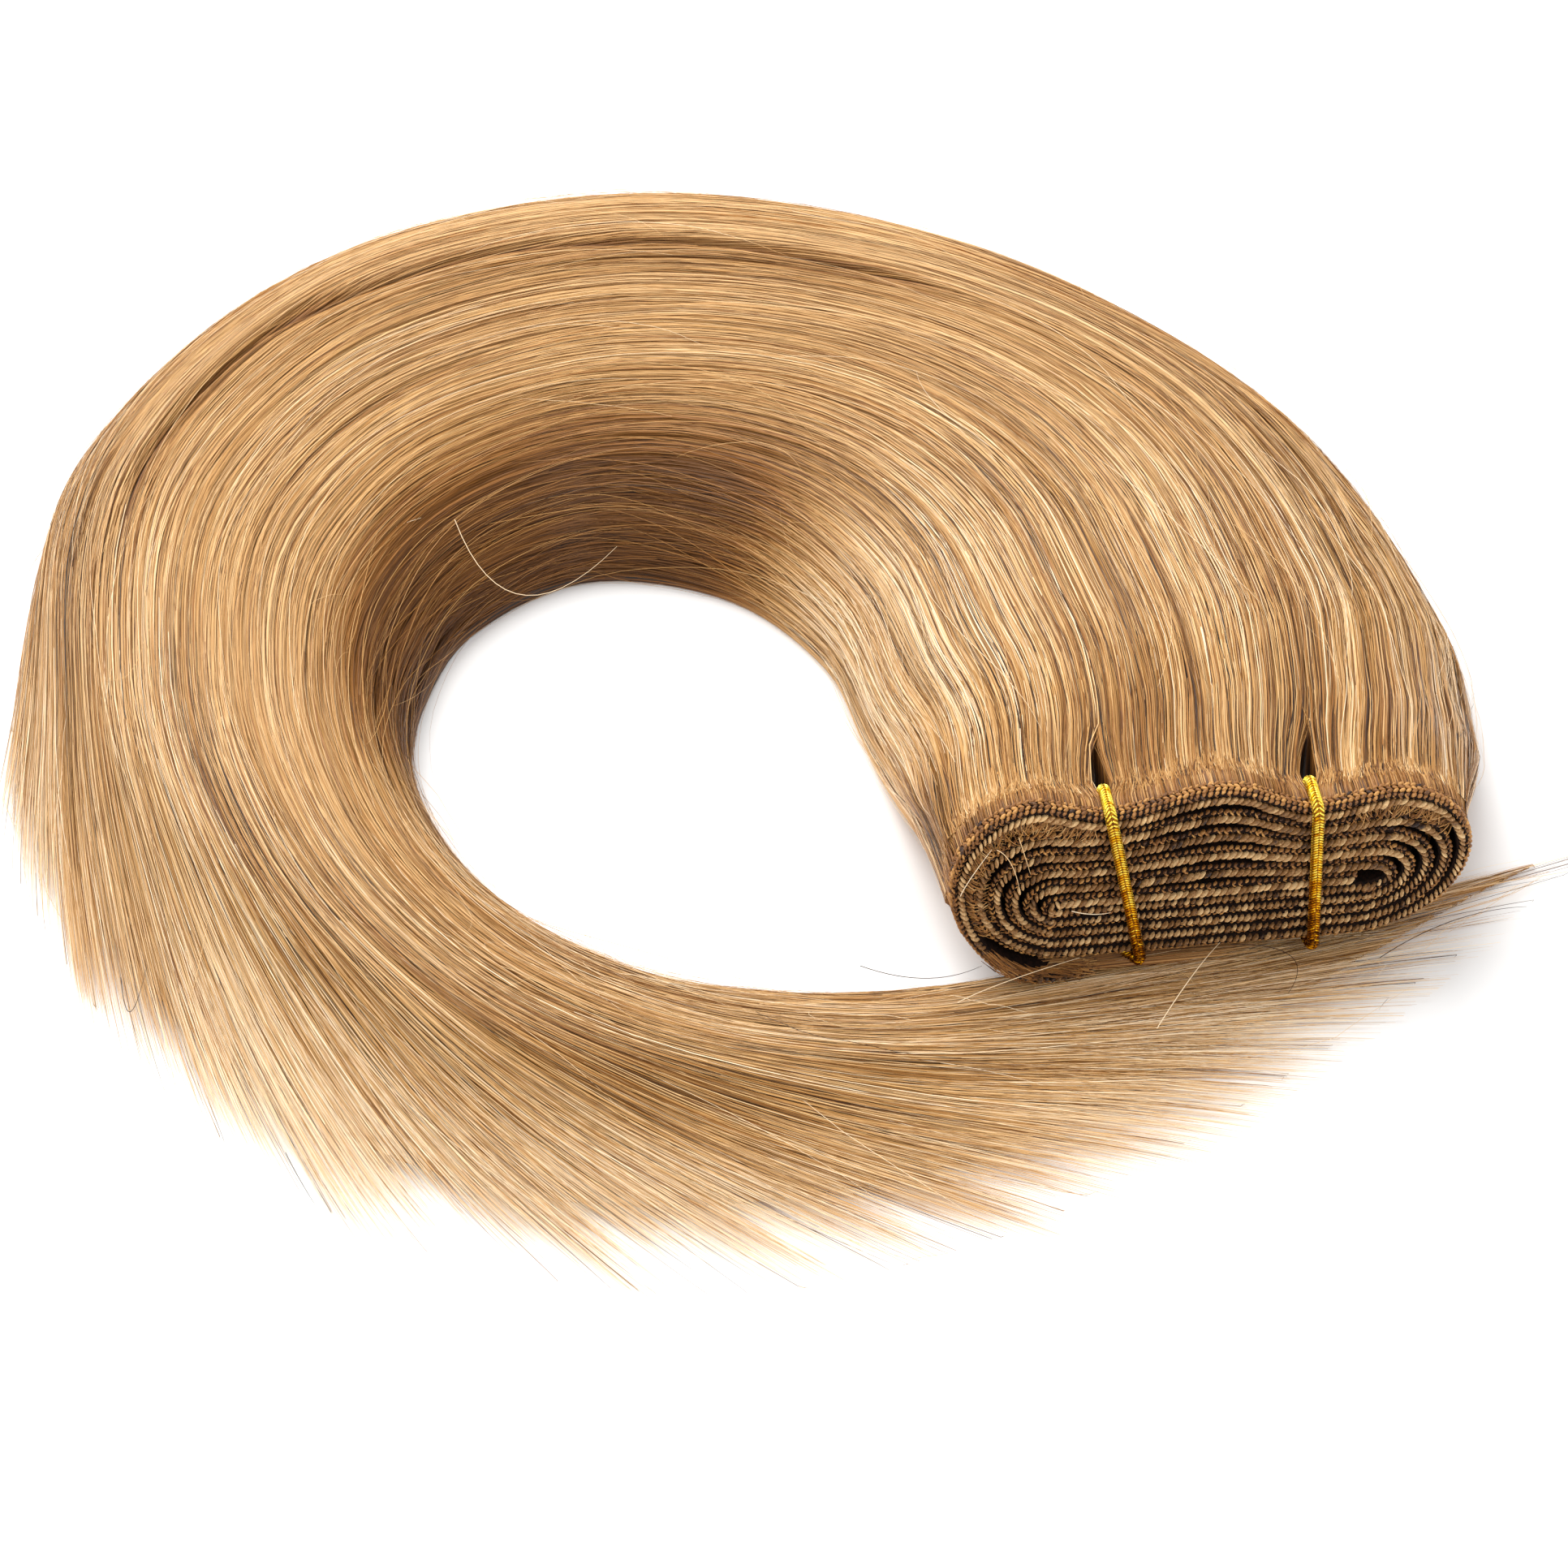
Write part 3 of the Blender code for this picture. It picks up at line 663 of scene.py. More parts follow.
class Draw:
    """Draws for so many strands, from a seed or after the draws of another's generator: each
    is a column with one number for a strand."""

    def __init__(self, seed, count):
        self.rng = np.random.default_rng(seed)
        self.shape = (count, 1)

    def even(self, low, high):
        return self.rng.uniform(low, high, self.shape)

    def bell(self, swing, middle=0.0):
        return self.rng.normal(middle, swing, self.shape)

    def fading(self):
        return self.rng.exponential(1.0, self.shape)

    def some(self, share):
        return self.rng.uniform(size=self.shape) < share

    def tone(self, w, s):
        """Tints: neighbours share a tone, single hairs differ, and a few are dark brown."""
        shared = 0.10 * grain(w, s, 24, 3, 31) + 0.08 * grain(w, s, 80, 4, 32)
        tone = MIDDLE_TINT + shared + self.bell(0.14)
        return np.where(self.some(0.06), self.even(0.05, 0.25), np.clip(tone, 0.2, 0.98))


def zipped(upper, lower, flip):
    """Corners of triangles between a finer row of points and a coarser one that share ends."""
    found = []
    below = 0
    for i in range(len(upper) - 1):
        if lower[below] not in (upper[i], upper[i + 1]):
            found.append((upper[i], upper[i + 1], lower[below]))
        wanted = min(int((i + 1.5) / (len(upper) - 1) * (len(lower) - 1)), len(lower) - 1)
        while below < wanted:
            if upper[i + 1] != lower[below + 1]:
                found.append((upper[i + 1], lower[below + 1], lower[below]))
            below += 1
    found = np.array(found)
    return (found[:, ::-1] if flip else found).reshape(-1)


def make_body():
    """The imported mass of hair: a closed form with the wisps' valleys and the slits at the ties."""
    w = np.linspace(0, 1, BODY_COLUMNS + 1)
    rows = np.linspace(0, 1, BODY_ROWS + 1)
    places = np.repeat(w[:, None], BODY_ROWS + 1, axis=1)
    # The mass ends raggedly among the loose tips.
    middle = np.full_like(w, 0.5)
    end = 0.905 + 0.018 * grain(w, middle, 34, 1, 21) + 0.010 * grain(w, middle, 90, 1, 22)
    s = end[:, None] * rows
    points, shares, out = on_hair(places, s)
    lift = (relief(places, s) - 0.0004) * smooth(places / 0.02) * smooth((1 - places) / 0.02)
    # Painted shade darkens the tint on the inner wall and inside the rim, and painted highlights and
    # browner parts shift it.
    tint = 0.46 - 0.36 * painted_shade(places, s) + painted_highlights_and_browns(places, s)
    half = notch_half(s)
    for tie in TIES:
        off = np.abs(shares - (tie.top + 1) / 2) * ROLL_WIDTH
        inside = smooth((half - off) / 0.0012 + 0.5) * (half > 0)
        lift = lift - 0.006 * inside
        # Deep in the slits the tint is painted almost black: painted shade.
        tint = tint * (1 - 0.97 * inside)
    top = points + out * lift[..., None]
    # It thins out to nothing where it ends, so that no edge shows among the tips.
    thin = smooth((end[:, None] - s) / 0.07)
    top[..., 2] = 0.0003 + (top[..., 2] - 0.0003) * thin
    u_rows = np.repeat(np.linspace(0, 1, UNDER_COLUMNS + 1)[:, None], BODY_ROWS + 1, axis=1)
    s_under = np.interp(u_rows, shares[:, 0], end) * rows
    s_under[0], s_under[-1] = s[0], s[-1]
    under = bilinear(FLOW, u_rows, s_under / FULL_REACH)[1:-1][..., [0, 1, 3]].reshape(-1, 3)
    top_index = np.arange(s.size).reshape(s.shape)
    under_index = np.concatenate((
        top_index[:1],
        s.size + np.arange(len(under)).reshape(UNDER_COLUMNS - 1, -1),
        top_index[-1:],
    ))
    quads = []
    for index, flip in ((top_index, False), (under_index, True)):
        a, b, c, d = index[:-1, :-1], index[1:, :-1], index[1:, 1:], index[:-1, 1:]
        quads.append(np.stack((d, c, b, a) if flip else (a, b, c, d), axis=-1).reshape(-1))
    quads = np.concatenate(quads)
    ends = np.concatenate((
        zipped(top_index[:, 0], under_index[:, 0], True),
        zipped(top_index[:, -1], under_index[:, -1], False),
    ))
    starts = np.concatenate((np.arange(0, len(quads), 4), len(quads) + np.arange(0, len(ends), 3)))
    # The map is in millimetres: 125 over the outline, 87 over the underside and 470 along.
    uv = np.concatenate((
        np.stack((places * 125, s * 470), axis=-1).reshape(-1, 2),
        np.stack((u_rows * 87, s_under * 470), axis=-1)[1:-1].reshape(-1, 2),
    ))
    tints = np.concatenate((tint.reshape(-1), np.full(len(under), 0.35)))
    piece = new_piece("hair_body", backing_material(),
                      np.concatenate((top.reshape(-1, 3), under)),
                      np.concatenate((quads, ends)), starts, uv, tints)
    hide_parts("hair_fall")


def make_surface_strands(settings, finish):
    """Long strands over the whole surface, which dive under others at both ends."""
    draw = Draw(101, settings.strand_count // 3)
    t = np.linspace(0, 1, 17)
    arch = np.sin(np.pi * np.clip(t, *INSIDE)) ** 0.35
    for letter in "abc":
        length = draw.even(0.10, 0.36)
        start = draw.even(-0.10, 0.86)
        s = np.clip(start + length * t, 0.0, 0.97)
        w0 = draw.even(0.004, 0.996)
        drift = draw.bell(0.007) * (t - 0.5)
        bend = draw.bell(0.0022) * np.sin(np.pi * t * draw.even(0.7, 2.0))
        w = np.clip(w0 + drift + bend + 0.005 * grain(w0, s, 26, 9, 41), 0.002, 0.998)
        height = draw.even(-0.0001, 0.00045)
        dives = -0.0006 + (height + 0.0006) * arch
        lift = np.where(start < 0, height * smooth(s / 0.01), dives) + relief(w, s)
        width = settings.strand_width * draw.even(0.6, 1.4) * (0.35 + 0.65 * arch)
        tint = draw.tone(w0, start + length / 2) + draw.bell(0.05) * t
        tint = MIDDLE_TINT + (tint - MIDDLE_TINT) * crispness(w, s)
        # Painted highlights and painted shade, as on the mass below.
        tint = (tint + painted_highlights_and_browns(w, s)) * (1 - 0.70 * painted_shade(w, s))
        lay_strands("hair_strands_" + letter, finish, past_ties(w, s), s, lift, width, tint,
                    draw.bell(0.35))


def make_tips(settings, finish):
    """Loose tips in wisps: their ends are ragged, thin out and let the surface show between."""
    draw = Draw(202, settings.tip_count // 2)
    wisps = Draw(draw.rng, 150)
    centres = np.sort(wisps.even(0, 1), axis=0)
    pull = wisps.even(0.10, 0.65) + 0.33 * smooth((0.40 - centres) / 0.2)
    extra = wisps.bell(0.017)
    t = np.linspace(0, 1, 10)
    for letter in "ab":
        w0 = draw.even(0.003, 0.997)
        wisp = np.abs(w0 - centres.T).argmin(axis=1)
        thinning = 0.022 + 0.034 * smooth((0.42 - w0) / 0.2)
        end = 1.002 + extra[wisp] + draw.bell(0.009) - thinning * draw.fading()
        end = end + 0.024 * hump(w0 - 0.25, 0.14) - 0.055 * smooth((0.18 - w0) / 0.14)
        end = np.clip(end, 0.86, 1.034)
        start = end - draw.even(0.10, 0.24)
        s = start + (end - start) * t
        w = w0 + (centres[wisp] - w0) * smooth((s - 0.86) / 0.16) * pull[wisp]
        loose = draw.bell(1.0) * (0.010 + 0.035 * smooth((0.35 - w0) / 0.35))
        fan = 0.07 * smooth((0.3 - w0) / 0.3) * draw.even(0, 1)
        w = w + (loose + fan) * smooth((s - 0.80) / 0.22) + draw.bell(0.002) * t
        # Strands that would leave the inner edge come back in, or they'd heap up on it.
        w = np.clip(np.abs(w), *INSIDE)
        centre, _, out = on_hair(w, s)
        # Most lie on top, and the rest anywhere between there and the floor.
        depth = np.where(draw.some(0.6), draw.even(0.8, 1.05), draw.even(0.1, 1.0))
        height = centre[..., 2] * depth + GROUND + draw.even(0, 0.0005)
        stray = np.abs(draw.bell(0.0004) * smooth((t - 0.5) * 2))
        centre[..., 2] = np.maximum(height + stray, GROUND)
        sides = tilted(centre, out, draw.bell(0.4))
        narrow = (1 - 0.75 * t**3) * (0.5 + 0.5 * smooth(t * 5))
        width = settings.strand_width * draw.even(0.55, 1.1) * narrow
        # Painted highlights as on the rest of the hair; towards their ends the tips are painted
        # paler, a painted glow of thin hair lit from behind, and those at the right a little paler
        # still.
        tint = MIDDLE_TINT + 1.3 * (draw.tone(w0, end) - MIDDLE_TINT) + painted_highlights_and_browns(w, s)
        tint = tint + 0.26 * smooth((s - 0.86) / 0.14) + 0.08 * smooth((0.42 - w) / 0.2)
        ribbons("hair_tips_" + letter, finish, centre, sides, width, tint)


def make_flyaways(settings, finish):
    """Single hairs that stray over the others, at an angle and a little above them."""
    draw = Draw(303, settings.flyaway_count)
    t = np.linspace(0, 1, 18)
    s = np.clip(draw.even(0.02, 0.90) + draw.even(0.04, 0.22) * t, 0.0, 1.02)
    # More of them lie near the open hole, where hairs slip out of the bend.
    w0 = np.where(draw.some(0.22), draw.even(0.0, 0.30), draw.even(0.01, 0.99))
    lean = draw.bell(0.050) * (t - 0.5)
    w = np.clip(w0 + lean + draw.bell(0.05) * (t - 0.5) ** 2, *INSIDE)
    lift = draw.even(0.0003, 0.0020) * np.sin(np.pi * t) ** 0.7 + 0.0002 + relief(w, s) * 0.5
    width = settings.strand_width * draw.even(0.35, 0.65) * (1 - 0.5 * np.abs(2 * t - 1) ** 3)
    tint = np.where(draw.some(0.08), 0.03, draw.even(0.55, 0.95))
    # Painted shade on the inner wall and inside the rim darkens them.
    tint = tint * (1 - 0.45 * painted_shade(w, s))
    lay_strands("hair_flyaways", finish, w, s, lift, width, tint, draw.bell(0.5))


def make_dark_hairs_and_shadow_lines(settings, finish):
    """Thin dark hairs and the thin shadows between wisps, short and all over the bundle."""
    draw = Draw(305, settings.dark_and_shadow_count)
    t = np.linspace(0, 1, 10)
    s = np.clip(draw.even(0.01, 0.97) + draw.even(0.03, 0.16) * t, 0.0, 1.02)
    w = np.clip(draw.even(0.004, 0.996) + draw.bell(0.004) * (t - 0.5), *INSIDE)
    lift = draw.even(0.0002, 0.0007) * np.sin(np.pi * t) ** 0.5 + relief(w, s)
    w = past_ties(w, s)
    pointed = np.sin(np.pi * np.clip(t, 0.02, 0.98)) ** 0.7
    width = settings.strand_width * draw.even(0.4, 1.0) * pointed
    width = width * np.clip(crispness(w, s) - 0.25, 0.05, 1)
    lay_strands("hair_dark_and_shadow_lines", finish, w, s, lift, width, draw.even(0.02, 0.24), draw.bell(0.3))


def make_edge_fuzz(settings, finish):
    """Fine hairs that leave the bundle's two edges a little and come back."""
    draw = Draw(304, settings.fuzz_count)
    t = np.linspace(0, 1, 10)
    s = np.clip(draw.even(0.03, 0.97) + draw.even(0.03, 0.13) * t, 0.0, 1.0)
    w0 = np.where(draw.some(0.55), draw.even(0.005, 0.16), draw.even(0.86, 0.995))
    w = np.clip(w0 + draw.bell(0.03) * (t - 0.5), *INSIDE)
    bow = draw.fading() * np.where(draw.some(0.5), np.sqrt(t), np.sin(np.pi * t))
    lift = 0.0001 + np.clip(0.0008 * bow, 0, 0.0035)
    width = settings.strand_width * draw.even(0.35, 0.6) * (1 - 0.6 * t**2)
    # Painted shade on the inner wall and inside the rim darkens them.
    tint = draw.even(0.45, 1.0) * (1 - 0.55 * painted_shade(w, s))
    lay_strands("hair_fuzz", finish, w, s, lift, width, tint, draw.bell(0.6))


# Single hairs that catch the eye: three points each, and a tint.
Stray = namedtuple("Stray", "start middle end tint")
STRAYS = (
    Stray((-0.0742, 0.0040, 0.0190), (-0.0730, 0.0166, 0.0215), (-0.0631, 0.0262, 0.0215), 0.98),
    Stray((-0.0572, 0.0276, 0.0200), (-0.0451, 0.0161, 0.0120), (-0.0279, 0.0212, 0.0190), 0.90),
    Stray((-0.1075, -0.0783, 0.0085), (-0.1051, -0.0864, 0.0085), (-0.1035, -0.0760, 0.0085), 0.02),
    Stray((-0.0779, -0.1139, 0.0040), (-0.0755, -0.1185, 0.0030), (-0.0726, -0.1228, 0.0010), 0.02),
    Stray((0.0766, -0.0668, 0.0050), (0.0864, -0.0707, 0.0060), (0.0855, -0.0780, 0.0045), 0.04),
    Stray((0.0147, -0.0689, 0.0020), (0.0256, -0.0719, 0.0020), (0.0351, -0.0689, 0.0020), 0.05),
    Stray((0.1017, -0.0680, 0.0030), (0.1149, -0.0590, 0.0030), (0.1279, -0.0545, 0.0020), 0.05),
    Stray((0.0631, -0.0878, 0.0060), (0.0697, -0.0770, 0.0080), (0.0754, -0.0667, 0.0060), 0.92),
    Stray((0.0306, -0.0817, 0.0060), (0.0388, -0.0778, 0.0070), (0.0512, -0.0711, 0.0060), 0.90),
    Stray((0.0308, -0.0750, 0.0237), (0.0324, -0.0748, 0.0275), (0.0357, -0.0743, 0.0335), 1.00),
    Stray((0.0365, -0.0741, 0.0332), (0.0390, -0.0738, 0.0297), (0.0407, -0.0736, 0.0228), 0.80),
    Stray((0.0400, -0.0738, 0.0357), (0.0410, -0.0737, 0.0320), (0.0422, -0.0735, 0.0273), 0.75),
    Stray((0.0493, -0.0728, 0.0183), (0.0527, -0.0724, 0.0172), (0.0558, -0.0720, 0.0172), 0.95),
)


def make_strays(settings, finish):
    """The few single hairs that lie apart: curled ones, and pale fibres over the weft's face."""
    t = np.linspace(0, 1, 16)[None, :, None]
    start, middle, end = (np.array([row[k] for row in STRAYS])[:, None] for k in range(3))
    control = 2 * middle - (start + end) / 2
    centre = start * (1 - t) ** 2 + control * 2 * t * (1 - t) + end * t**2
    width = settings.strand_width * 0.9 * (1 - 0.6 * t[..., 0] ** 3)
    tint = np.array([[row.tint] for row in STRAYS])
    sides = tilted(centre, FORWARD_AND_UP)
    ribbons("hair_strays", finish, centre, sides, width, tint)


# The stitched weft

def curl(start, widest, end):
    """Points of a half turn, from the end of one layer over its widest place to the next."""
    points = []
    for step in range(1, 2 * CURL_STEPS):
        angle = math.pi / 2 * step / CURL_STEPS
        corner = start if step <= CURL_STEPS else end
        x = corner[0] + (widest[0] - corner[0]) * math.sin(angle)
        z = widest[1] + (corner[1] - widest[1]) * abs(math.cos(angle))
        points.append((x, z))
    return points


def top_run(wrap, left, right, steps):
    """Points along the top of a wrap; inner wraps follow the layers above them less and less."""
    innermost = ROLL_FLOOR + ROLL_HEIGHT * INNERMOST_LEVEL
    points = []
    for step in range(steps + 1):
        x = left + (right - left) * step / steps
        place = 2 * x / ROLL_WIDTH
        z = float(roll_level(place, "outermost"))
        if wrap > 0:
            share = (WRAPS - wrap) / (WRAPS - 1)
            z = innermost + (float(roll_level(place, "next_under")) - innermost) * share
        points.append((x, z))
    return points


def weft_route():
    """The middle line of the weft in the roll's face from its outer end to its inner end, its
    thickness at each point, and how many points its first whole turn has."""
    half = ROLL_WIDTH / 2
    innermost = ROLL_FLOOR + ROLL_HEIGHT * INNERMOST_LEVEL
    lowest = ROLL_FLOOR + BOTTOM_LAYER / 2
    bottom_pitch = (innermost - (TOP_LAYER + BOTTOM_LAYER) / 2 - CLEARANCE - lowest) / (WRAPS - 1)
    eye = innermost - (TOP_LAYER + BOTTOM_LAYER + CLEARANCE) / 4
    widest_height = ROLL_FLOOR + ROLL_HEIGHT * WIDEST_LEVEL
    inset = TOP_LAYER + LAYER_GAP
    tail = (half * TAIL_CORNER, ROLL_FLOOR / 2 + BOTTOM_LAYER / 2)
    points = [(half * TAIL_END, tail[1]), ((half * TAIL_END + tail[0]) / 2, tail[1]), tail]
    thick = [BOTTOM_LAYER] * 3
    first_turn = 0
    for wrap in range(WRAPS + 1):
        share = wrap / WRAPS
        reach = half - TOP_LAYER / 2 - inset * wrap
        height = widest_height + (eye - widest_height) * share
        flat_top = reach - ROLL_WIDTH * (TOP_CURL + (EYE_CURL - TOP_CURL) * share)
        flat_under = reach - ROLL_WIDTH * (UNDER_CURL + (EYE_CURL - UNDER_CURL) * share)
        last = wrap == WRAPS
        top_end = half * EYE_END if last else flat_top
        top = top_run(wrap, -flat_top, top_end, LAST_TOP_STEPS if last else TOP_STEPS)
        if wrap > 0:
            points.append((-flat_under, points[-1][1]))
            thick.append(BOTTOM_LAYER)
        left = curl(points[-1], (-reach, height), top[0])
        points += left + top
        thick += list(np.linspace(BOTTOM_LAYER, TOP_LAYER, len(left))) + [TOP_LAYER] * len(top)
        if last:
            break
        bottom = lowest + bottom_pitch * wrap
        right = curl(top[-1], (reach, height), (flat_under, bottom))
        if wrap == 0:
            first_turn = len(points) + len(right)
        points += right + [(flat_under, bottom), (0.0, bottom)]
        thick += list(np.linspace(TOP_LAYER, BOTTOM_LAYER, len(right))) + [BOTTOM_LAYER] * 2
    return np.array(points), np.array(thick), first_turn


WEFT_LINE, WEFT_THICK, FIRST_TURN = weft_route()


def turned(direction):
    """Directions in the roll's face, turned left by a quarter."""
    return np.stack((-direction[:, 1], direction[:, 0]), axis=1)


def even_route(pitch, offset, until=None):
    """Places a pitch apart along a line that runs beside the weft's middle, by an offset that
    is a share of its thickness: places, directions and thickness."""
    points, thick = WEFT_LINE[:until], WEFT_THICK[:until]
    beside = points + turned(unit(np.gradient(points, axis=0))) * (thick * offset)[:, None]
    # A finer, rounded line between the route's own points.
    padded = np.concatenate(([2 * beside[0] - beside[1]], beside, [2 * beside[-1] - beside[-2]]))
    at = np.linspace(0, len(beside) - 1, len(beside) * 8)
    line = through(padded, at)
    run = run_along(line)
    wanted = np.arange(pitch / 2, run[-1], pitch)
    place = at_distance(wanted, run, line)
    direction = unit(at_distance(wanted + pitch / 4, run, line) - place)
    return place, direction, np.interp(np.interp(wanted, run, at), np.arange(len(thick)), thick)


def tail_shift(place, order):
    """How far forward of the roll's face the weft's tail stands."""
    corner = np.array((ROLL_WIDTH / 2 * TAIL_CORNER, ROLL_FLOOR / 2))
    away = np.linalg.norm(place - corner, axis=1) / (ROLL_WIDTH * TAIL_REACH)
    near = (place[:, 1] < ROLL_FLOOR) | ((place[:, 0] < corner[0]) & (order < 0.045))
    return np.where(near, TAIL_FORWARD * (1 - smooth(away)), 0.0)


def front_row(rng, pitch, offset, back, lean):
    """A row of stitches on the roll's face, which lean in degrees off the route: places, axes,
    thickness, and whether each is in the tail. The axes go along, across and backward."""
    place, direction, depth = even_route(pitch, offset)
    count = len(place)
    shift = tail_shift(place, np.arange(count) / count)
    where = roll_point(place[:, 0], back - shift + rng.normal(0, 0.00010, count), place[:, 1])
    c, s = math.cos(math.radians(lean)), math.sin(math.radians(lean))
    run = (direction[:, 0] * c - direction[:, 1] * s)[:, None]
    rise = (direction[:, 0] * s + direction[:, 1] * c)[:, None]
    along, across = run * RIGHT + rise * UP, -rise * RIGHT + run * UP
    axes = np.stack((along, across, np.broadcast_to(BEHIND, along.shape)), axis=1)
    return where, axes, depth, shift > 0.0002


def stitch_tints(rng, count, middle, swing):
    """Tints of a row: long stretches are lighter or darker, and single stitches differ."""
    knots = np.arange(0, count + 40, 40)
    slow = np.interp(np.arange(count), knots, rng.uniform(-1, 1, len(knots)))
    return np.clip(middle + swing * slow + 0.15 * rng.standard_normal(count), 0, 1)


def stitches(name, finish, shape, places, axes, sizes, tints):
    """Stitches as copies of one shape: each at its place, turned to its three axes."""
    points, faces = shape
    placed = places[:, None] + np.einsum("nvk,nkc->nvc", points * sizes[:, None], axes)
    repeated(name, finish, placed, faces, tints)


# Half sizes of stitches along, across and out of their row. Rows on the roll's face: how far off
# the weft's middle as a share of its thickness, how far behind the face, and the lean in
# degrees. Rows on the outermost layer: how far behind the face, and the lean in radians.
ROPE_STITCH = (0.00104, 0.00034, 0.00074)
ROPE_ROW = (-0.17, 0.0001, 41)
CHAIN_STITCH = (0.00058, 0.00025, 0.00050)
CHAIN_ROWS = ((0.24, 0.0005, -38), (0.39, 0.0005, 38))
TOP_STITCH = (0.00066, 0.00034, 0.00034)
TOP_ROWS = ((0.0010, 0.55), (0.0017, -0.55), (0.0025, 0.55))


def make_stitches(settings):
    """The weft's rows of stitches: a pale rope and a brown chain on the roll's face, and chain
    stitches over its outermost layer."""
    pitch = settings.stitch_pitch
    rng = np.random.default_rng(404)
    # Hair folded over the weft's edge: matte, with plies about 0.4 mm wide.
    pale = thread_material("folded_hair_edge", {"Roughness": 0.6}, (
        (0.10, "#261208"), (0.50, "#966a3b"), (0.90, "#e0ba84")), 2600.0, swing=0.8, bump=0.0002)
    # Twisted sewing thread: matte brown, with plies about 0.3 mm wide.
    brown = thread_material("brown_sewing_thread", {"Roughness": 0.6}, (
        (0.10, "#2c1404"), (0.50, "#8f5c28"), (0.90, "#cc9652")), 3000.0, swing=0.8, bump=0.0002)
    # The inner edge of each layer is a pale twisted row, its slanted stitches like a rope's
    # strands. The tail's own edge, low under the roll, is painted darker: painted shade.
    places, axes, depth, in_tail = front_row(rng, pitch, *ROPE_ROW)
    share = depth / TOP_LAYER
    long, wide, deep = ROPE_STITCH
    sizes = np.stack((long * share, wide * share**0.5, deep + 0 * share), axis=1)
    sizes *= rng.uniform(0.88, 1.10, (len(share), 1))
    tints = stitch_tints(rng, len(share), 0.56, 0.20) - 0.42 * in_tail
    stitches("weft_rope", pale, bead(7, 6), places, axes, sizes, np.clip(tints, 0.05, 1))
    # The outer edge is a brown chain of smaller stitches that lean to and fro.
    rows = []
    for row in CHAIN_ROWS:
        places, axes, _, in_tail = front_row(rng, pitch, *row)
        # Chain stitches in the tail are painted darker too: painted shade under the roll.
        rows.append((places, axes, stitch_tints(rng, len(places), 0.50, 0.18) - 0.16 * in_tail))
    places, axes, tints = (np.concatenate(part) for part in zip(*rows))
    sizes = np.array(CHAIN_STITCH) * rng.uniform(0.85, 1.15, (len(places), 1))
    stitches("weft_chain", brown, bead(6, 4), places, axes, sizes, tints)
    # Rows of chain stitches lie on the outer side of the outermost layer.
    place, direction, _ = even_route(pitch, 0.5, FIRST_TURN)
    normal = turned(direction)
    spot = place + normal * 0.00010
    shift = tail_shift(place, np.arange(len(place)) / 1e4)
    along, out = (way[:, :1] * RIGHT + way[:, 1:] * UP for way in (direction, normal))
    rows = []
    for back, lean in TOP_ROWS:
        first = along * math.cos(lean) + BEHIND * math.sin(lean)
        axes = np.stack((first, np.cross(out, first), out), axis=1)
        rows.append((roll_point(spot[:, 0], back - shift, spot[:, 1]), axes))
    places, axes = (np.concatenate(part) for part in zip(*rows))
    sizes = np.array(TOP_STITCH) * rng.uniform(0.85, 1.15, (len(places), 1))
    tints = np.clip(0.58 + 0.2 * rng.standard_normal(len(places)), 0, 1)
    stitches("weft_top_stitches", brown, bead(6, 5), places, axes, sizes, tints)


# Thread in the shade and rubbery cord: dull, with specks about 0.5 mm wide.
DULL = {"Roughness": 0.85, "Specular IOR Level": 0.2}


def dress_band():
    """The weft's base thread, which shows between the stitches: painted almost black, the painted
    shade in the gaps between them and between the layers.
    """
    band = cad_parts["weft_band"]
    band.data.materials.clear()
    band.data.materials.append(thread_material(
        "weft_base_thread_and_gap_shade", DULL, ((0.35, "#0a0401"), (0.65, "#26130a")), 1800.0))


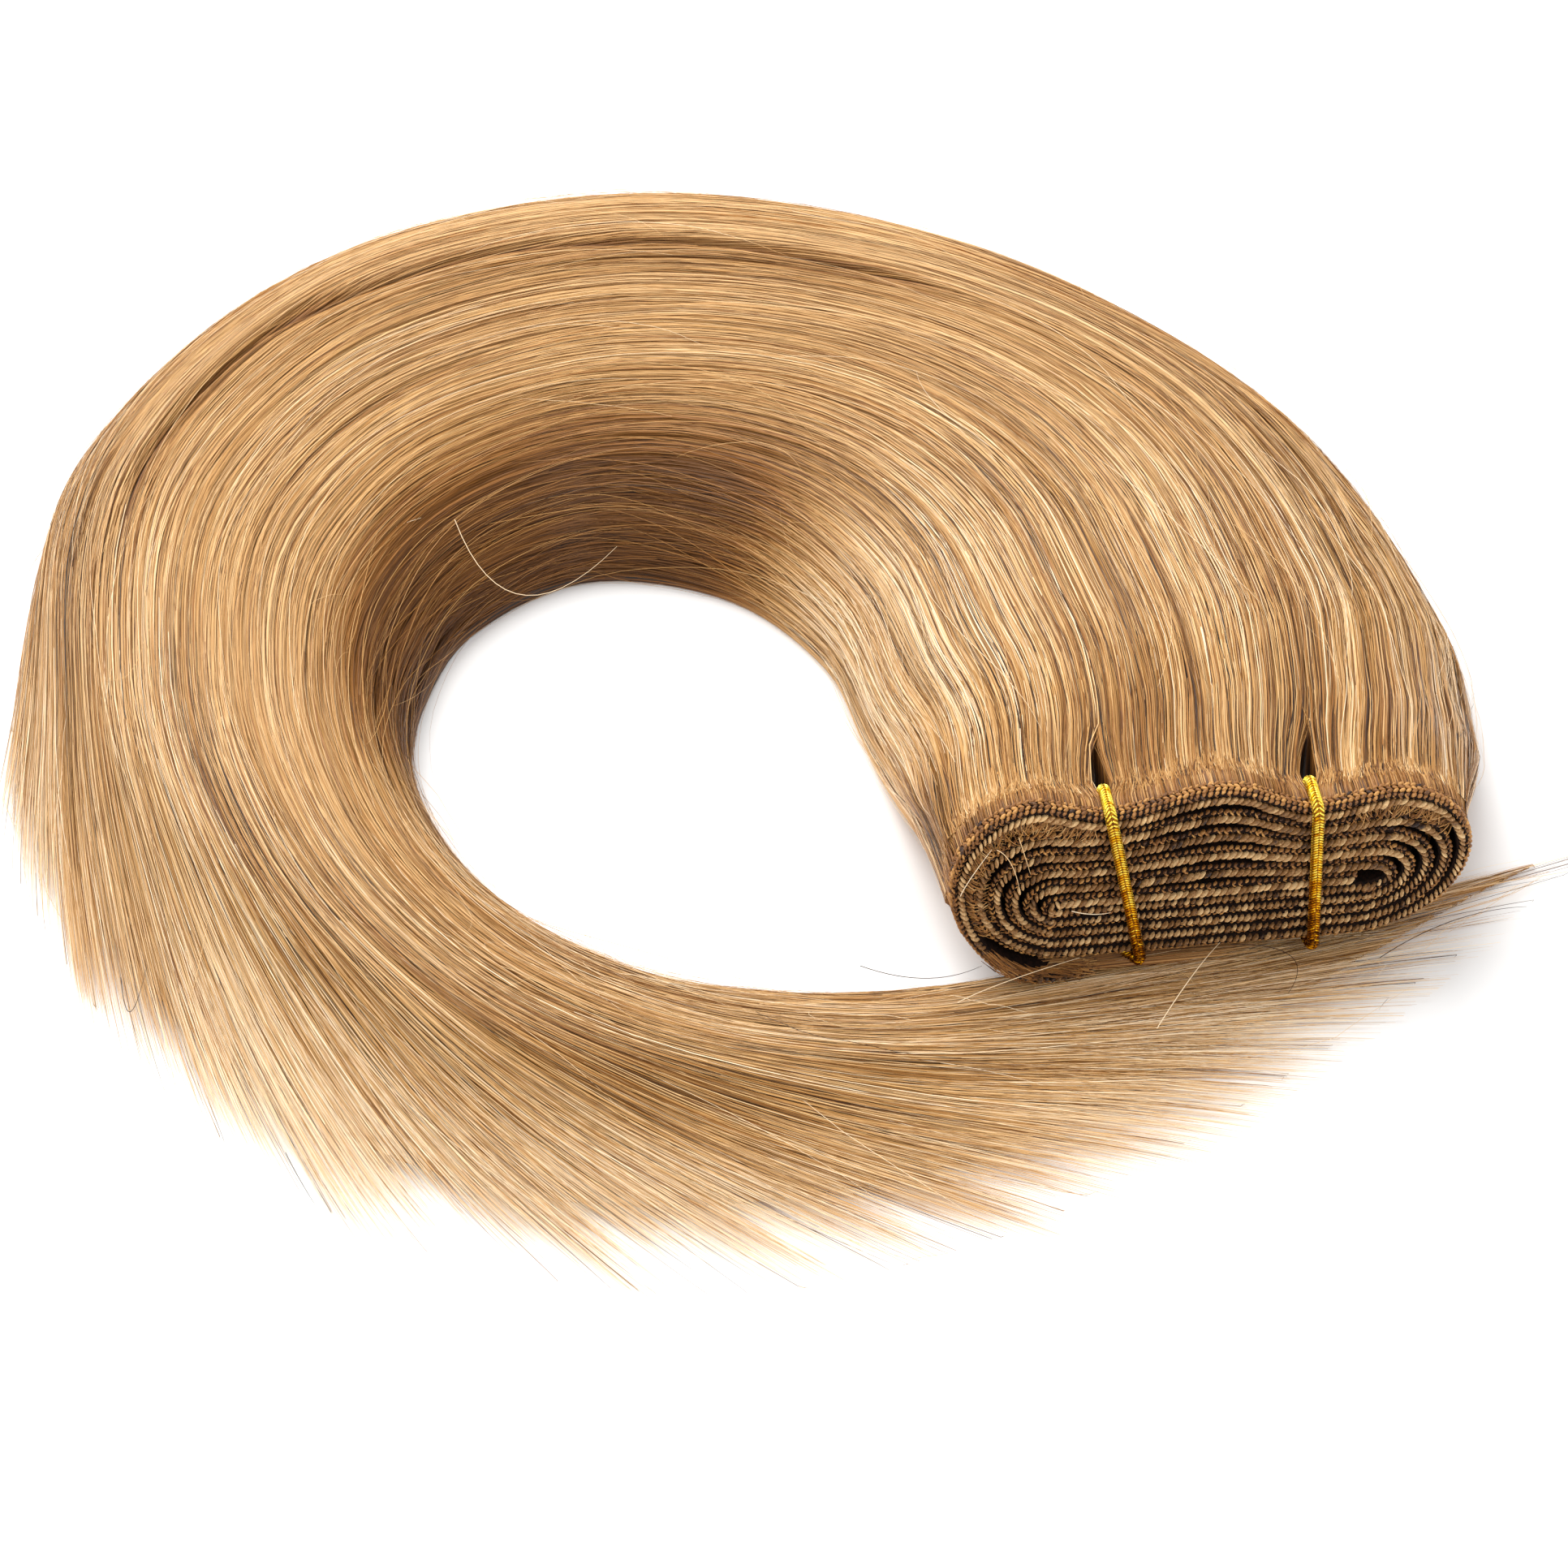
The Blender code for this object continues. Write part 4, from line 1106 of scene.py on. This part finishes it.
def make_root_fringe(settings, finish):
    """Short strands from the stitches back into the hair, brown at first and then blonde."""
    count = settings.root_count
    draw = Draw(505, count)
    t = np.linspace(0, 1, 8)
    place, direction, _ = even_route(0.0005, 0.5, FIRST_TURN)
    normal = turned(direction)
    seen = place[:, 1] > ROLL_FLOOR + 0.2 * ROLL_HEIGHT
    place, normal = place[seen], normal[seen]
    pick = draw.rng.integers(0, len(place), count)
    normal = normal[pick]
    place = place[pick] + draw.even(-0.00025, 0.00025) * normal[:, ::-1]
    # The nearest place on the hair's root, for each strand.
    here = roll_point(place[:, 0], ROOT_BACK, place[:, 1])
    away = np.linalg.norm(here[:, None] - FORM[None, :, 0, :3], axis=2)
    w = np.linspace(0, 1, ACROSS_STEPS)[away.argmin(axis=1)][:, None]
    starts_at = draw.even(0.0020, 0.0028)
    length = draw.even(0.012, 0.024)
    # The brown ends in teeth, one for each stitch: two steps stand close together there.
    teeth = 0.0013 * np.abs(((place[:, :1] / 0.00107) % 1.0) * 2 - 1)
    brown_until = 0.0051 + teeth + draw.bell(0.0005)
    back = np.concatenate((
        starts_at, (starts_at + brown_until) / 2, brown_until - 0.0002, brown_until + 0.0002,
        brown_until + length * np.array((0.15, 0.40, 0.70, 1.0)),
    ), axis=1)
    high = 0.00012 + draw.even(0.0, 0.0004) * np.sin(np.pi * np.clip(0.1 + t, 0, 1))
    right, up = (place[:, k : k + 1] + normal[:, k : k + 1] * high for k in (0, 1))
    straight = roll_point(right, back, up)
    s = np.clip(back - ROOT_BACK, 0, None) / MEAN_LENGTH
    wide = np.clip(w + draw.bell(0.008) * t, *INSIDE)
    wide = np.clip(past_ties(wide, s), 0, 1)
    laid, _, out = on_hair(wide, s)
    lift = draw.even(0.0, 0.0005) * (1 - t) + (relief(wide, s) - 0.0004) * smooth(s / 0.02)
    blend = smooth((back - 0.0035) / 0.0060)[..., None]
    centre = straight * (1 - blend) + (laid + out * lift[..., None]) * blend
    sides = tilted(centre, out, draw.bell(0.5))
    width = settings.strand_width * 1.35 * draw.even(0.6, 1.4) * (1 - 0.8 * t)
    tint = np.repeat(draw.tone(w, 0 * w) - 0.13, len(t), axis=1)
    tint[:, :3] = draw.bell(0.12, 0.33)
    tint[:, 0] -= 0.10
    ribbons("root_fringe", finish, centre, sides, width, tint)


def make_hollow_roots_and_shade(settings, finish):
    """Hair roots in the hollows under the outermost layer and below the tail, dark brown: their own
    colour and painted shade in the hollows and under the roll.
    """
    draw = Draw(506, settings.hollow_and_shade_count)
    tail = Draw(draw.rng, settings.hollow_and_shade_count // 2)
    t = np.linspace(0, 1, 7)
    place, direction, _ = even_route(0.0004, -0.45, FIRST_TURN)
    x, z = place.T

    def pick(where, some):
        """Places and directions at which so many roots start."""
        chosen = np.flatnonzero(where)[draw.rng.integers(0, where.sum(), some.shape[0])]
        return place[chosen], direction[chosen]

    left = (x < -0.0195) & (z > 0.0120)
    right = (x > 0.0230) & (x < 0.0400) & (z > 0.0200)
    start, ahead = pick(left | right, draw)
    reach = -turned(ahead) * draw.even(0.0020, 0.0048) + ahead * draw.bell(0.0016, -0.0010)
    line = start[:, None] + reach[:, None] * t[:, None]
    back = draw.even(0.0004, 0.0022) - draw.even(0.0, 0.0012) * np.sin(np.pi * t)
    hollows = roll_point(line[..., 0], back, line[..., 1])
    # Below the roll, roots of the tail run on to the right and come down on the hair there.
    across = tail.even(-0.0285, -0.0185) + tail.even(0.008, 0.034) * t
    up = 0.0049 - 0.0032 * smooth(t) * tail.even(0.3, 1.0)
    below = roll_point(across, tail.even(-0.0020, 0.0035) + 0.002 * t, up)
    # Short brown fuzz hides the stitches at the tail's corner.
    start, ahead = pick((x < -0.0190) & (z < 0.0085), tail)
    start = start + draw.rng.normal(0, 0.0007, start.shape)
    line = start[:, None] + (ahead * tail.even(0.001, 0.004))[:, None] * t[:, None]
    forward = -0.0016 - tail.even(0, 0.002) + 0.001 * t
    corner = roll_point(line[..., 0], forward, np.maximum(line[..., 1], 0.0006))
    centre = np.concatenate((hollows, below, corner))
    every = Draw(draw.rng, len(centre))
    width = settings.strand_width * every.even(0.6, 1.3) * (1 - 0.6 * t**2)
    # Dark brown: the roots' own colour and painted shade in the hollows.
    tint = np.clip(every.bell(0.13, 0.28) + 0.15 * t, 0.03, 0.8)
    # Darker still at the tail's corner: painted shade under the roll.
    tint[-len(corner):] *= 0.75
    sides = tilted(centre, FORWARD)
    ribbons("hollow_roots_and_shade", finish, centre, sides, width, tint)


# The ties

def tie_ring(tie):
    """The middle line of a tie: a closed ring round the roll, with rounded corners."""
    reach = CLEARANCE + TIE_THICKNESS / 2
    high = float(roll_level(tie.top, "outermost")) + TOP_LAYER / 2 + reach
    low = ROLL_FLOOR - reach
    corners = (
        (tie.top, -reach, high),
        (tie.bottom, -reach, low),
        (tie.top, ROLL_DEPTH + reach, low),
        (tie.top, ROLL_DEPTH + reach, high),
    )
    points = [np.array((place * ROLL_WIDTH / 2, back, up)) for place, back, up in corners]
    route = []
    for index, here in enumerate(points):
        to_last = points[index - 1] - here
        to_next = points[(index + 1) % len(points)] - here
        start = here + to_last * (TIE_THICKNESS / np.linalg.norm(to_last))
        end = here + to_next * (TIE_THICKNESS / np.linalg.norm(to_next))
        for t in np.linspace(0, 1, 9):
            route.append(start * (1 - t) ** 2 + here * 2 * t * (1 - t) + end * t**2)
        route.append((here + points[(index + 1) % len(points)]) / 2)
    return roll_point(*np.array(route + route[:1]).T)


def around_ring(ring, steps, angles):
    """Even places along a closed ring, its directions there, and directions outward from it at
    angles round it."""
    run = run_along(ring)
    line = at_distance(np.linspace(0, run[-1], steps, endpoint=False), run, ring)
    ahead = unit(np.roll(line, -1, axis=0) - np.roll(line, 1, axis=0))
    first = unit(RIGHT - ahead * (ahead @ RIGHT)[:, None])
    second = np.cross(ahead, first)
    turns = np.asarray(angles)[..., None]
    outward = first[:, None] * np.cos(turns) + second[:, None] * np.sin(turns)
    return line[:, None], ahead[:, None], outward


# Half sizes of a yarn along, across and out of the braid, as shares of the cord's radius, and
# its lean in degrees; the core's radius as such a share, its steps and its sides.
YARN = (0.98, 0.22, 0.26)
YARN_LEAN = 56
CORE_RADIUS = 0.84
CORE_STEPS = 150
CORE_SIDES = 10


def make_tie(tie, settings, gold, core):
    """Elastic cord braided over with gold yarn: a core, and yarns laid herringbone round it."""
    radius = TIE_THICKNESS / 2
    ring = tie_ring(tie)
    steps = int(round(run_along(ring)[-1] / settings.braid_pitch))
    yarn, faces = bead(6, 5)
    # Fuller towards its ends than an egg, so that the four columns of yarns meet.
    yarn[:, 0] = np.sign(yarn[:, 0]) * np.abs(yarn[:, 0]) ** 0.6
    yarn = yarn * (radius * np.array(YARN))
    rng = np.random.default_rng(606)
    placed, tints = [], []
    for column in range(4):
        lean = math.radians(YARN_LEAN if column % 2 else -YARN_LEAN)
        axial = yarn[:, :1] * math.cos(lean) + yarn[:, 1:2] * math.sin(lean)
        around = yarn[:, 0] * math.sin(lean) - yarn[:, 1] * math.cos(lean)
        angles = math.pi / 4 + math.pi / 2 * column + around / radius
        line, ahead, outward = around_ring(ring, steps, angles)
        placed.append(line + ahead * axial + outward * (radius * 0.86 + yarn[:, 2:]))
        # The cord is painted bright where it faces the sky and amber down by the floor: painted
        # light and shade.
        height = (line[:, 0, 2] - ROLL_FLOOR) / ROLL_HEIGHT
        tints.append(0.34 + 0.42 * smooth(height * 1.4) + 0.13 * rng.standard_normal(steps))
    piece = repeated(tie.name + "_braid", gold, np.concatenate(placed), faces,
                     np.clip(np.concatenate(tints), 0, 1))
    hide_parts(tie.name)
    angles = np.linspace(0, 2 * np.pi, CORE_SIDES, endpoint=False)
    line, _, circle = around_ring(ring, CORE_STEPS, angles)
    points = line + circle * radius * CORE_RADIUS
    index = np.arange(points[..., 0].size).reshape(points.shape[:2])
    after, beside = np.roll(index, -1, axis=0), np.roll(index, -1, axis=1)
    faces = np.stack((index, beside, np.roll(after, -1, axis=1), after), axis=-1).reshape(-1)
    new_piece(tie.name + "_core", core, points.reshape(-1, 3), faces,
              np.arange(0, len(faces), 4))


# The stage

CAMERA_TILT = math.radians(42)
CAMERA_DISTANCE = 0.85
CAMERA_AIM = (HOLE_X + 0.022, HOLE_Y, 0.0)
# The photo's focal length in its own pixels, its width and the sensor's width.
CAMERA_LENS = 5986 / 1932 * 36


def softbox(name, place, aim, size, power, colour):
    """A round area light."""
    data = bpy.data.lights.new(name, "AREA")
    data.shape = "DISK"
    data.size = size
    data.energy = power
    data.color = colour
    lamp = bpy.data.objects.new(name, data)
    lamp.location = place
    lamp.rotation_euler = (Vector(aim) - Vector(place)).to_track_quat("-Z", "Y").to_euler()
    bpy.context.scene.collection.objects.link(lamp)


def make_stage(settings):
    """The floor, the soft light from all round, behind and in front, and the camera."""
    bpy.ops.object.select_all(action="DESELECT")
    bpy.ops.mesh.primitive_plane_add(size=6.0, location=(0, 0, -0.0003))
    floor = bpy.context.object
    floor.name = "pale_floor"
    # White card: flat and matte, so that it takes only soft shadows.
    values = {"Base Color": (*settings.floor_colour, 1.0), "Roughness": 0.9}
    floor.data.materials.append(new_material("matte_white_paper", values)[0])
    world = bpy.data.worlds.new("soft_studio")
    world.use_nodes = True
    sky = world.node_tree.nodes["Background"].inputs
    sky["Color"].default_value = (1.0, 1.0, 1.0, 1.0)
    sky["Strength"].default_value = settings.fill_strength
    scene = bpy.context.scene
    scene.world = world
    softbox("key_softbox", (-0.50, 0.60, 1.30), (0, 0, 0), 1.6, settings.key_power,
            (1.0, 0.99, 0.97))
    softbox("front_softbox", (0.60, -0.95, 0.85), (0.03, -0.03, 0), 0.7, settings.front_power,
            (1.0, 1.0, 1.0))
    data = bpy.data.cameras.new("photo_camera")
    data.lens = CAMERA_LENS
    data.sensor_width = 36
    camera = bpy.data.objects.new("photo_camera", data)
    back = Vector((0, -math.cos(CAMERA_TILT), math.sin(CAMERA_TILT)))
    camera.location = Vector(CAMERA_AIM) + CAMERA_DISTANCE * back
    camera.rotation_euler = (math.pi / 2 - CAMERA_TILT, 0, 0)
    scene.collection.objects.link(camera)
    scene.camera = camera
    scene.view_settings.view_transform = "Standard"


# What a user can change

class HairSettings(bpy.types.PropertyGroup):
    strand_width: FloatProperty(
        name="Strand width", description="Width of a drawn strand, a few hairs together",
        default=0.00015, min=0.00005, unit="LENGTH")
    strand_count: IntProperty(
        name="Surface strands", description="Long strands over the surface", default=12600, min=3)
    tip_count: IntProperty(
        name="Tip strands", description="Loose strands at the tips", default=8800, min=2)
    flyaway_count: IntProperty(
        name="Flyaways", description="Single stray hairs", default=520, min=1)
    # They also stand for painted shade in the weft's hollows and under the roll.
    hollow_and_shade_count: IntProperty(
        name="Hollow fuzz", description="Short roots in the weft's hollows", default=700, min=2)
    # They also draw the painted shadow lines between wisps.
    dark_and_shadow_count: IntProperty(
        name="Dark hairs", description="Thin dark hairs between the wisps", default=2000, min=1)
    fuzz_count: IntProperty(
        name="Edge fuzz", description="Fine hairs off the bundle's edges", default=1100, min=1)
    root_count: IntProperty(
        name="Root strands", description="Short strands at the stitches", default=3600, min=1)


class WeftSettings(bpy.types.PropertyGroup):
    stitch_pitch: FloatProperty(
        name="Stitch pitch", description="Distance between stitches of the weft",
        default=0.00107, min=0.0005, unit="LENGTH")


class TieSettings(bpy.types.PropertyGroup):
    braid_pitch: FloatProperty(
        name="Braid pitch", description="Distance between yarns along a tie",
        default=0.00056, min=0.0002, unit="LENGTH")


class StageSettings(bpy.types.PropertyGroup):
    floor_colour: FloatVectorProperty(
        name="Floor colour", description="Colour of the surface it lies on", subtype="COLOR",
        default=(0.95, 0.95, 0.95), min=0, max=1)
    fill_strength: FloatProperty(
        name="Fill", description="Strength of the even light all round", default=0.80, min=0)
    key_power: FloatProperty(
        name="Key power", description="Power of the softbox behind and above",
        default=29.0, min=0, unit="POWER")
    front_power: FloatProperty(
        name="Front power", description="Power of the weaker softbox in front",
        default=3.0, min=0, unit="POWER")


SETTINGS = {
    "hairweft_hair": HairSettings,
    "hairweft_weft": WeftSettings,
    "hairweft_tie": TieSettings,
    "hairweft_stage": StageSettings,
}


def with_hair(context, *makers):
    """Runs makers with the hair's settings and the one hair material that they share."""
    finish = bpy.data.materials.get("bleached_human_hair") or hair_material()
    for maker in makers:
        maker(context.scene.hairweft_hair, finish)
    return {"FINISHED"}


class HAIRWEFT_OT_body(bpy.types.Operator):
    """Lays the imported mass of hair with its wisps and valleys"""

    bl_idname = "hairweft.body"
    bl_label = "Hair body"

    def execute(self, context):
        make_body()
        return {"FINISHED"}


class HAIRWEFT_OT_strands(bpy.types.Operator):
    """Lays long strands over the hair's surface"""

    bl_idname = "hairweft.strands"
    bl_label = "Surface strands"

    def execute(self, context):
        return with_hair(context, make_surface_strands)


class HAIRWEFT_OT_tips(bpy.types.Operator):
    """Ends the hair in loose wispy tips"""

    bl_idname = "hairweft.tips"
    bl_label = "Tips"

    def execute(self, context):
        return with_hair(context, make_tips)


class HAIRWEFT_OT_flyaways(bpy.types.Operator):
    """Lets single hairs stray over the others"""

    bl_idname = "hairweft.flyaways"
    bl_label = "Flyaways"

    def execute(self, context):
        return with_hair(context, make_flyaways, make_dark_hairs_and_shadow_lines, make_edge_fuzz, make_strays)


class HAIRWEFT_OT_weft(bpy.types.Operator):
    """Stitches the rolled weft and starts the hair's roots on it"""

    bl_idname = "hairweft.weft"
    bl_label = "Stitched weft"

    def execute(self, context):
        dress_band()
        make_stitches(context.scene.hairweft_weft)
        return with_hair(context, make_root_fringe, make_hollow_roots_and_shade)


class HAIRWEFT_OT_ties(bpy.types.Operator):
    """Braids the two gold elastic ties"""

    bl_idname = "hairweft.ties"
    bl_label = "Gold ties"

    def execute(self, context):
        # Metallised yarn: gold film with tiny bright and dark flecks about 0.4 mm across.
        gold = thread_material("gold_metallised_yarn", {"Metallic": 1.0, "Roughness": 0.28}, (
            (0.15, "#4a1e02"), (0.38, "#bd7408"), (0.58, "#f5bd18"), (0.80, "#ffe760"),
        ), 2500.0, detail=2.0, swing=0.9)
        # Elastic below the yarns: dull amber, and seen only between them.
        core = thread_material(
            "amber_elastic_core", DULL, ((0.35, "#5a2e04"), (0.65, "#b87a14")), 2500.0)
        for tie in TIES:
            make_tie(tie, context.scene.hairweft_tie, gold, core)
        return {"FINISHED"}


class HAIRWEFT_OT_stage(bpy.types.Operator):
    """Sets the floor, the soft light and the camera"""

    bl_idname = "hairweft.stage"
    bl_label = "Stage"

    def execute(self, context):
        make_stage(context.scene.hairweft_stage)
        return {"FINISHED"}


OPERATORS = (
    HAIRWEFT_OT_stage,
    HAIRWEFT_OT_body,
    HAIRWEFT_OT_strands,
    HAIRWEFT_OT_tips,
    HAIRWEFT_OT_flyaways,
    HAIRWEFT_OT_weft,
    HAIRWEFT_OT_ties,
)


class HAIRWEFT_PT_panel(bpy.types.Panel):
    bl_label = "Hair weft"
    bl_space_type = "VIEW_3D"
    bl_region_type = "UI"
    bl_category = "Hair weft"

    def draw(self, context):
        for operator in OPERATORS:
            self.layout.operator(operator.bl_idname)
        for group in SETTINGS:
            settings = getattr(context.scene, group)
            for name in settings.__annotations__:
                self.layout.prop(settings, name)


CLASSES = (*SETTINGS.values(), *OPERATORS, HAIRWEFT_PT_panel)


def register():
    for made in CLASSES:
        bpy.utils.register_class(made)
    for name, group in SETTINGS.items():
        setattr(bpy.types.Scene, name, PointerProperty(type=group))


def unregister():
    for name in SETTINGS:
        delattr(bpy.types.Scene, name)
    for made in reversed(CLASSES):
        bpy.utils.unregister_class(made)


def main():
    """Builds the pieces in order."""
    register()
    bpy.ops.hairweft.stage()
    bpy.ops.hairweft.body()
    bpy.ops.hairweft.strands()
    bpy.ops.hairweft.tips()
    bpy.ops.hairweft.flyaways()
    bpy.ops.hairweft.weft()
    bpy.ops.hairweft.ties()


if __name__ == "__main__":
    main()
